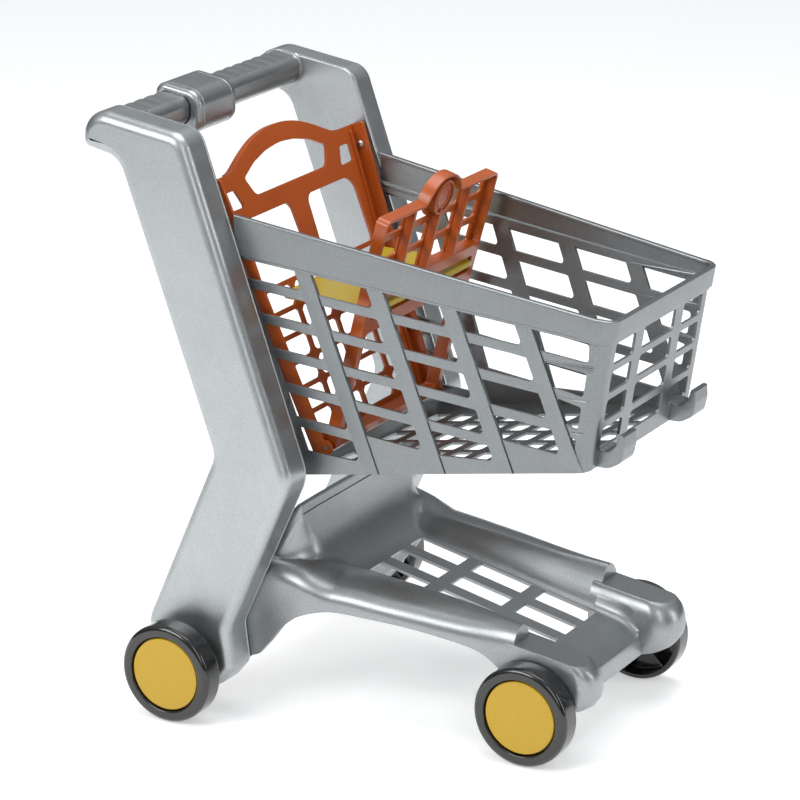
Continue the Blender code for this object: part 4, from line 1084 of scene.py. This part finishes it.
def build_wheel(label, x, y_mid, side):
    """A wheel with a ribbed web inside, and the yellow cap that snaps into its outer face."""
    def at(y):
        return lambda u, v, w: mm(x + u, side * (y_mid + y + w), AXLE_Z + v)

    half, r = WHEEL_W / 2, WHEEL_R
    web_out = half - WEB_SET
    web_in = web_out - WEB
    well = HUB_CAP_R + 0.6
    rim = filleted([(AXLE_BORE_R, -half, 0), (HUB_R, -half, 0.5), (HUB_R, web_in, 1),
                    (r - TYRE, web_in, 1.5), (r - TYRE, -half, 0.8), (r, -half, 3), (r, half, 5),
                    (well + 1.2, half, 1.5), (well, web_out, 0.3), (AXLE_BORE_R, web_out, 0)], steps=6)
    pieces = [turned("rolling_wheel_" + label, [(p.x, p.y) for p in rim], x, AXLE_Z, y_mid, side)]
    for k in range(RIBS):
        u, v = spoke_axes(k, RIBS, radians(15))
        corners = [u * i + v * j for i, j in ((7, RIB_HALF), (r - 4.5, RIB_HALF),
                                              (r - 4.5, -RIB_HALF), (7, -RIB_HALF))]
        pieces.append(plate("rib", [corners], half + web_in - RIB_SHORT, 0.3,
                            at((web_in - half + RIB_SHORT) / 2)))
    wheel = join("rolling_wheel_" + label, pieces)
    body = "wheel_body_" + label
    finish_mesh(wheel, black, body)
    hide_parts("wheel_" + label)

    face = half - 1.2
    disc = [(0.4, web_out + GAP + 2), (HUB_CAP_R - 0.6, web_out + GAP),
            (HUB_CAP_R, web_out + GAP + 0.4), (HUB_CAP_R, face - 1.6), (HUB_CAP_R - 0.5, face - 0.6),
            (HUB_CAP_R - 1.6, face - 0.2), (HUB_CAP_R * 0.5, face), (0.4, face)]
    pieces = [turned("hub_disc_" + label, disc, x, AXLE_Z, y_mid, side)]
    for k in range(PRONGS):
        u, v = spoke_axes(k, PRONGS, -pi / 2)
        corners = [u * (PRONG_AT + i) + v * j for i, j in ((-1.2, -3.7), (1.2, -3.7), (1.2, 3.7),
                                                           (-1.2, 3.7))]
        pieces.append(plate("prong", [corners], 6.4, 0.3, at(web_out - 1.8)))
    cap = join("hub_disc_" + label, pieces)
    finish_mesh(cap, cap_yellow, body)
    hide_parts("hub_cap_" + label)


for side_name, side in SIDES:
    build_upright(side_name, side)
    build_wheel("rear_" + side_name, 0, REAR_WHEEL_Y, side)
    build_wheel("front_" + side_name, WHEELBASE, FRONT_WHEEL_Y, side)
build_handle()
build_basket()
build_seat_back()
build_seat_front()
build_seat_pan()
build_tray()

for name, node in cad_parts.items():
    if any(word in name for word in ("screw", "axle", "nut", "rod")):
        node.data.materials.clear()
        node.data.materials.append(steel)


# ---- floor, light, camera
# in metres from the frame's origin
FLOOR_HALF, FLOOR_GLOW = 3.8, 0.46
BACKDROP = 0.97
HORIZON_LIGHT, SKY_LIGHT, SKY_FROM = 0.04, 0.62, 0.8
# name, place, target, size, watts
LAMPS = (("key", (-0.9, -2, 1.7), (0, 0, 0.28), (1.5, 1.1), 36),
         ("top", (0.1, 0.2, 2.4), (0, 0, 0.2), (1.6, 1.6), 30),
         ("strip", (1.5, -1.5, 1.3), (0, 0, 0.3), (0.35, 1.6), 9),
         ("edge", (2.4, 0.6, 0.9), (0, 0, 0.3), (0.22, 1.5), 11))
CAMERA_AZIMUTH, CAMERA_ELEVATION, CAMERA_ROLL = 30.16, 18.63, -0.12
CAMERA_DISTANCE = 3.1106
SENSOR, LENS = 36, 154.53  # millimetres


def build_floor():
    """Pale paper, with a faint glow that keeps the shadows soft."""
    bm = bmesh.new()
    bmesh.ops.create_grid(bm, x_segments=1, y_segments=1, size=FLOOR_HALF)
    floor = outward("studio_floor", bm)
    floor.location = (0, 0, -0.0005)
    paper = bpy.data.materials.new("pale_floor")
    paper.use_nodes = True
    nodes, links = paper.node_tree.nodes, paper.node_tree.links
    shader = set_inputs(nodes["Principled BSDF"], Roughness=0.7)
    noise = set_inputs(nodes.new("ShaderNodeTexNoise"), Scale=3)
    ramp = nodes.new("ShaderNodeValToRGB")
    ramp.color_ramp.elements[0].color = (0.86, 0.86, 0.86, 1)
    ramp.color_ramp.elements[1].color = (0.9, 0.9, 0.9, 1)
    links.new(noise.outputs["Fac"], ramp.inputs["Fac"])
    links.new(ramp.outputs["Color"], shader.inputs["Base Color"])
    links.new(ramp.outputs["Color"], shader.inputs["Emission Color"])
    shader.inputs["Emission Strength"].default_value = FLOOR_GLOW
    floor.data.materials.append(paper)


def build_world():
    """A white backdrop, and light from it that fades towards the horizon to shape the silver."""
    world = bpy.data.worlds.new("studio")
    bpy.context.scene.world = world
    world.use_nodes = True
    nodes, links = world.node_tree.nodes, world.node_tree.links
    seen = set_inputs(nodes["Background"], Color=(1, 1, 1, 1), Strength=BACKDROP)
    fill = set_inputs(nodes.new("ShaderNodeBackground"), Color=(0.93, 0.97, 1, 1))
    where = nodes.new("ShaderNodeTexCoord")
    axes = nodes.new("ShaderNodeSeparateXYZ")
    links.new(where.outputs["Generated"], axes.inputs[0])
    strength = spread(nodes, links, axes.outputs["Z"], 0, SKY_FROM, HORIZON_LIGHT, SKY_LIGHT)
    links.new(strength, fill.inputs["Strength"])
    path = nodes.new("ShaderNodeLightPath")
    mix = nodes.new("ShaderNodeMixShader")
    links.new(path.outputs["Is Camera Ray"], mix.inputs[0])
    links.new(fill.outputs[0], mix.inputs[1])
    links.new(seen.outputs[0], mix.inputs[2])
    links.new(mix.outputs[0], nodes["World Output"].inputs["Surface"])


def build_lamp(name, place, target, size, watts):
    light = bpy.data.lights.new(name, "AREA")
    light.shape = "RECTANGLE"
    light.size, light.size_y = size
    light.energy = watts
    lamp = object_in_scene(name, light)
    lamp.location = place
    lamp.rotation_euler = (Vector(target) - Vector(place)).to_track_quat("-Z", "Y").to_euler()


def build_camera():
    azimuth, elevation = radians(CAMERA_AZIMUTH), radians(CAMERA_ELEVATION)
    roll = radians(CAMERA_ROLL)
    back = Vector((sin(azimuth) * cos(elevation), -cos(azimuth) * cos(elevation), sin(elevation)))
    right = Vector((cos(azimuth), sin(azimuth), 0))
    up = back.cross(right)
    rolled_right = right * cos(roll) + up * sin(roll)
    rolled_up = up * cos(roll) - right * sin(roll)
    data = bpy.data.cameras.new("camera")
    data.sensor_width = SENSOR
    data.lens = LENS
    data.clip_end = 50
    camera = object_in_scene("camera", data)
    place = mm(131.1, 0, 270.7) + back * CAMERA_DISTANCE
    axes = Matrix((rolled_right, rolled_up, back)).transposed().to_4x4()
    camera.matrix_world = Matrix.Translation(place) @ axes
    bpy.context.scene.camera = camera


build_floor()
build_world()
for lamp in LAMPS:
    build_lamp(*lamp)
build_camera()
bpy.context.scene.view_settings.view_transform = "Standard"
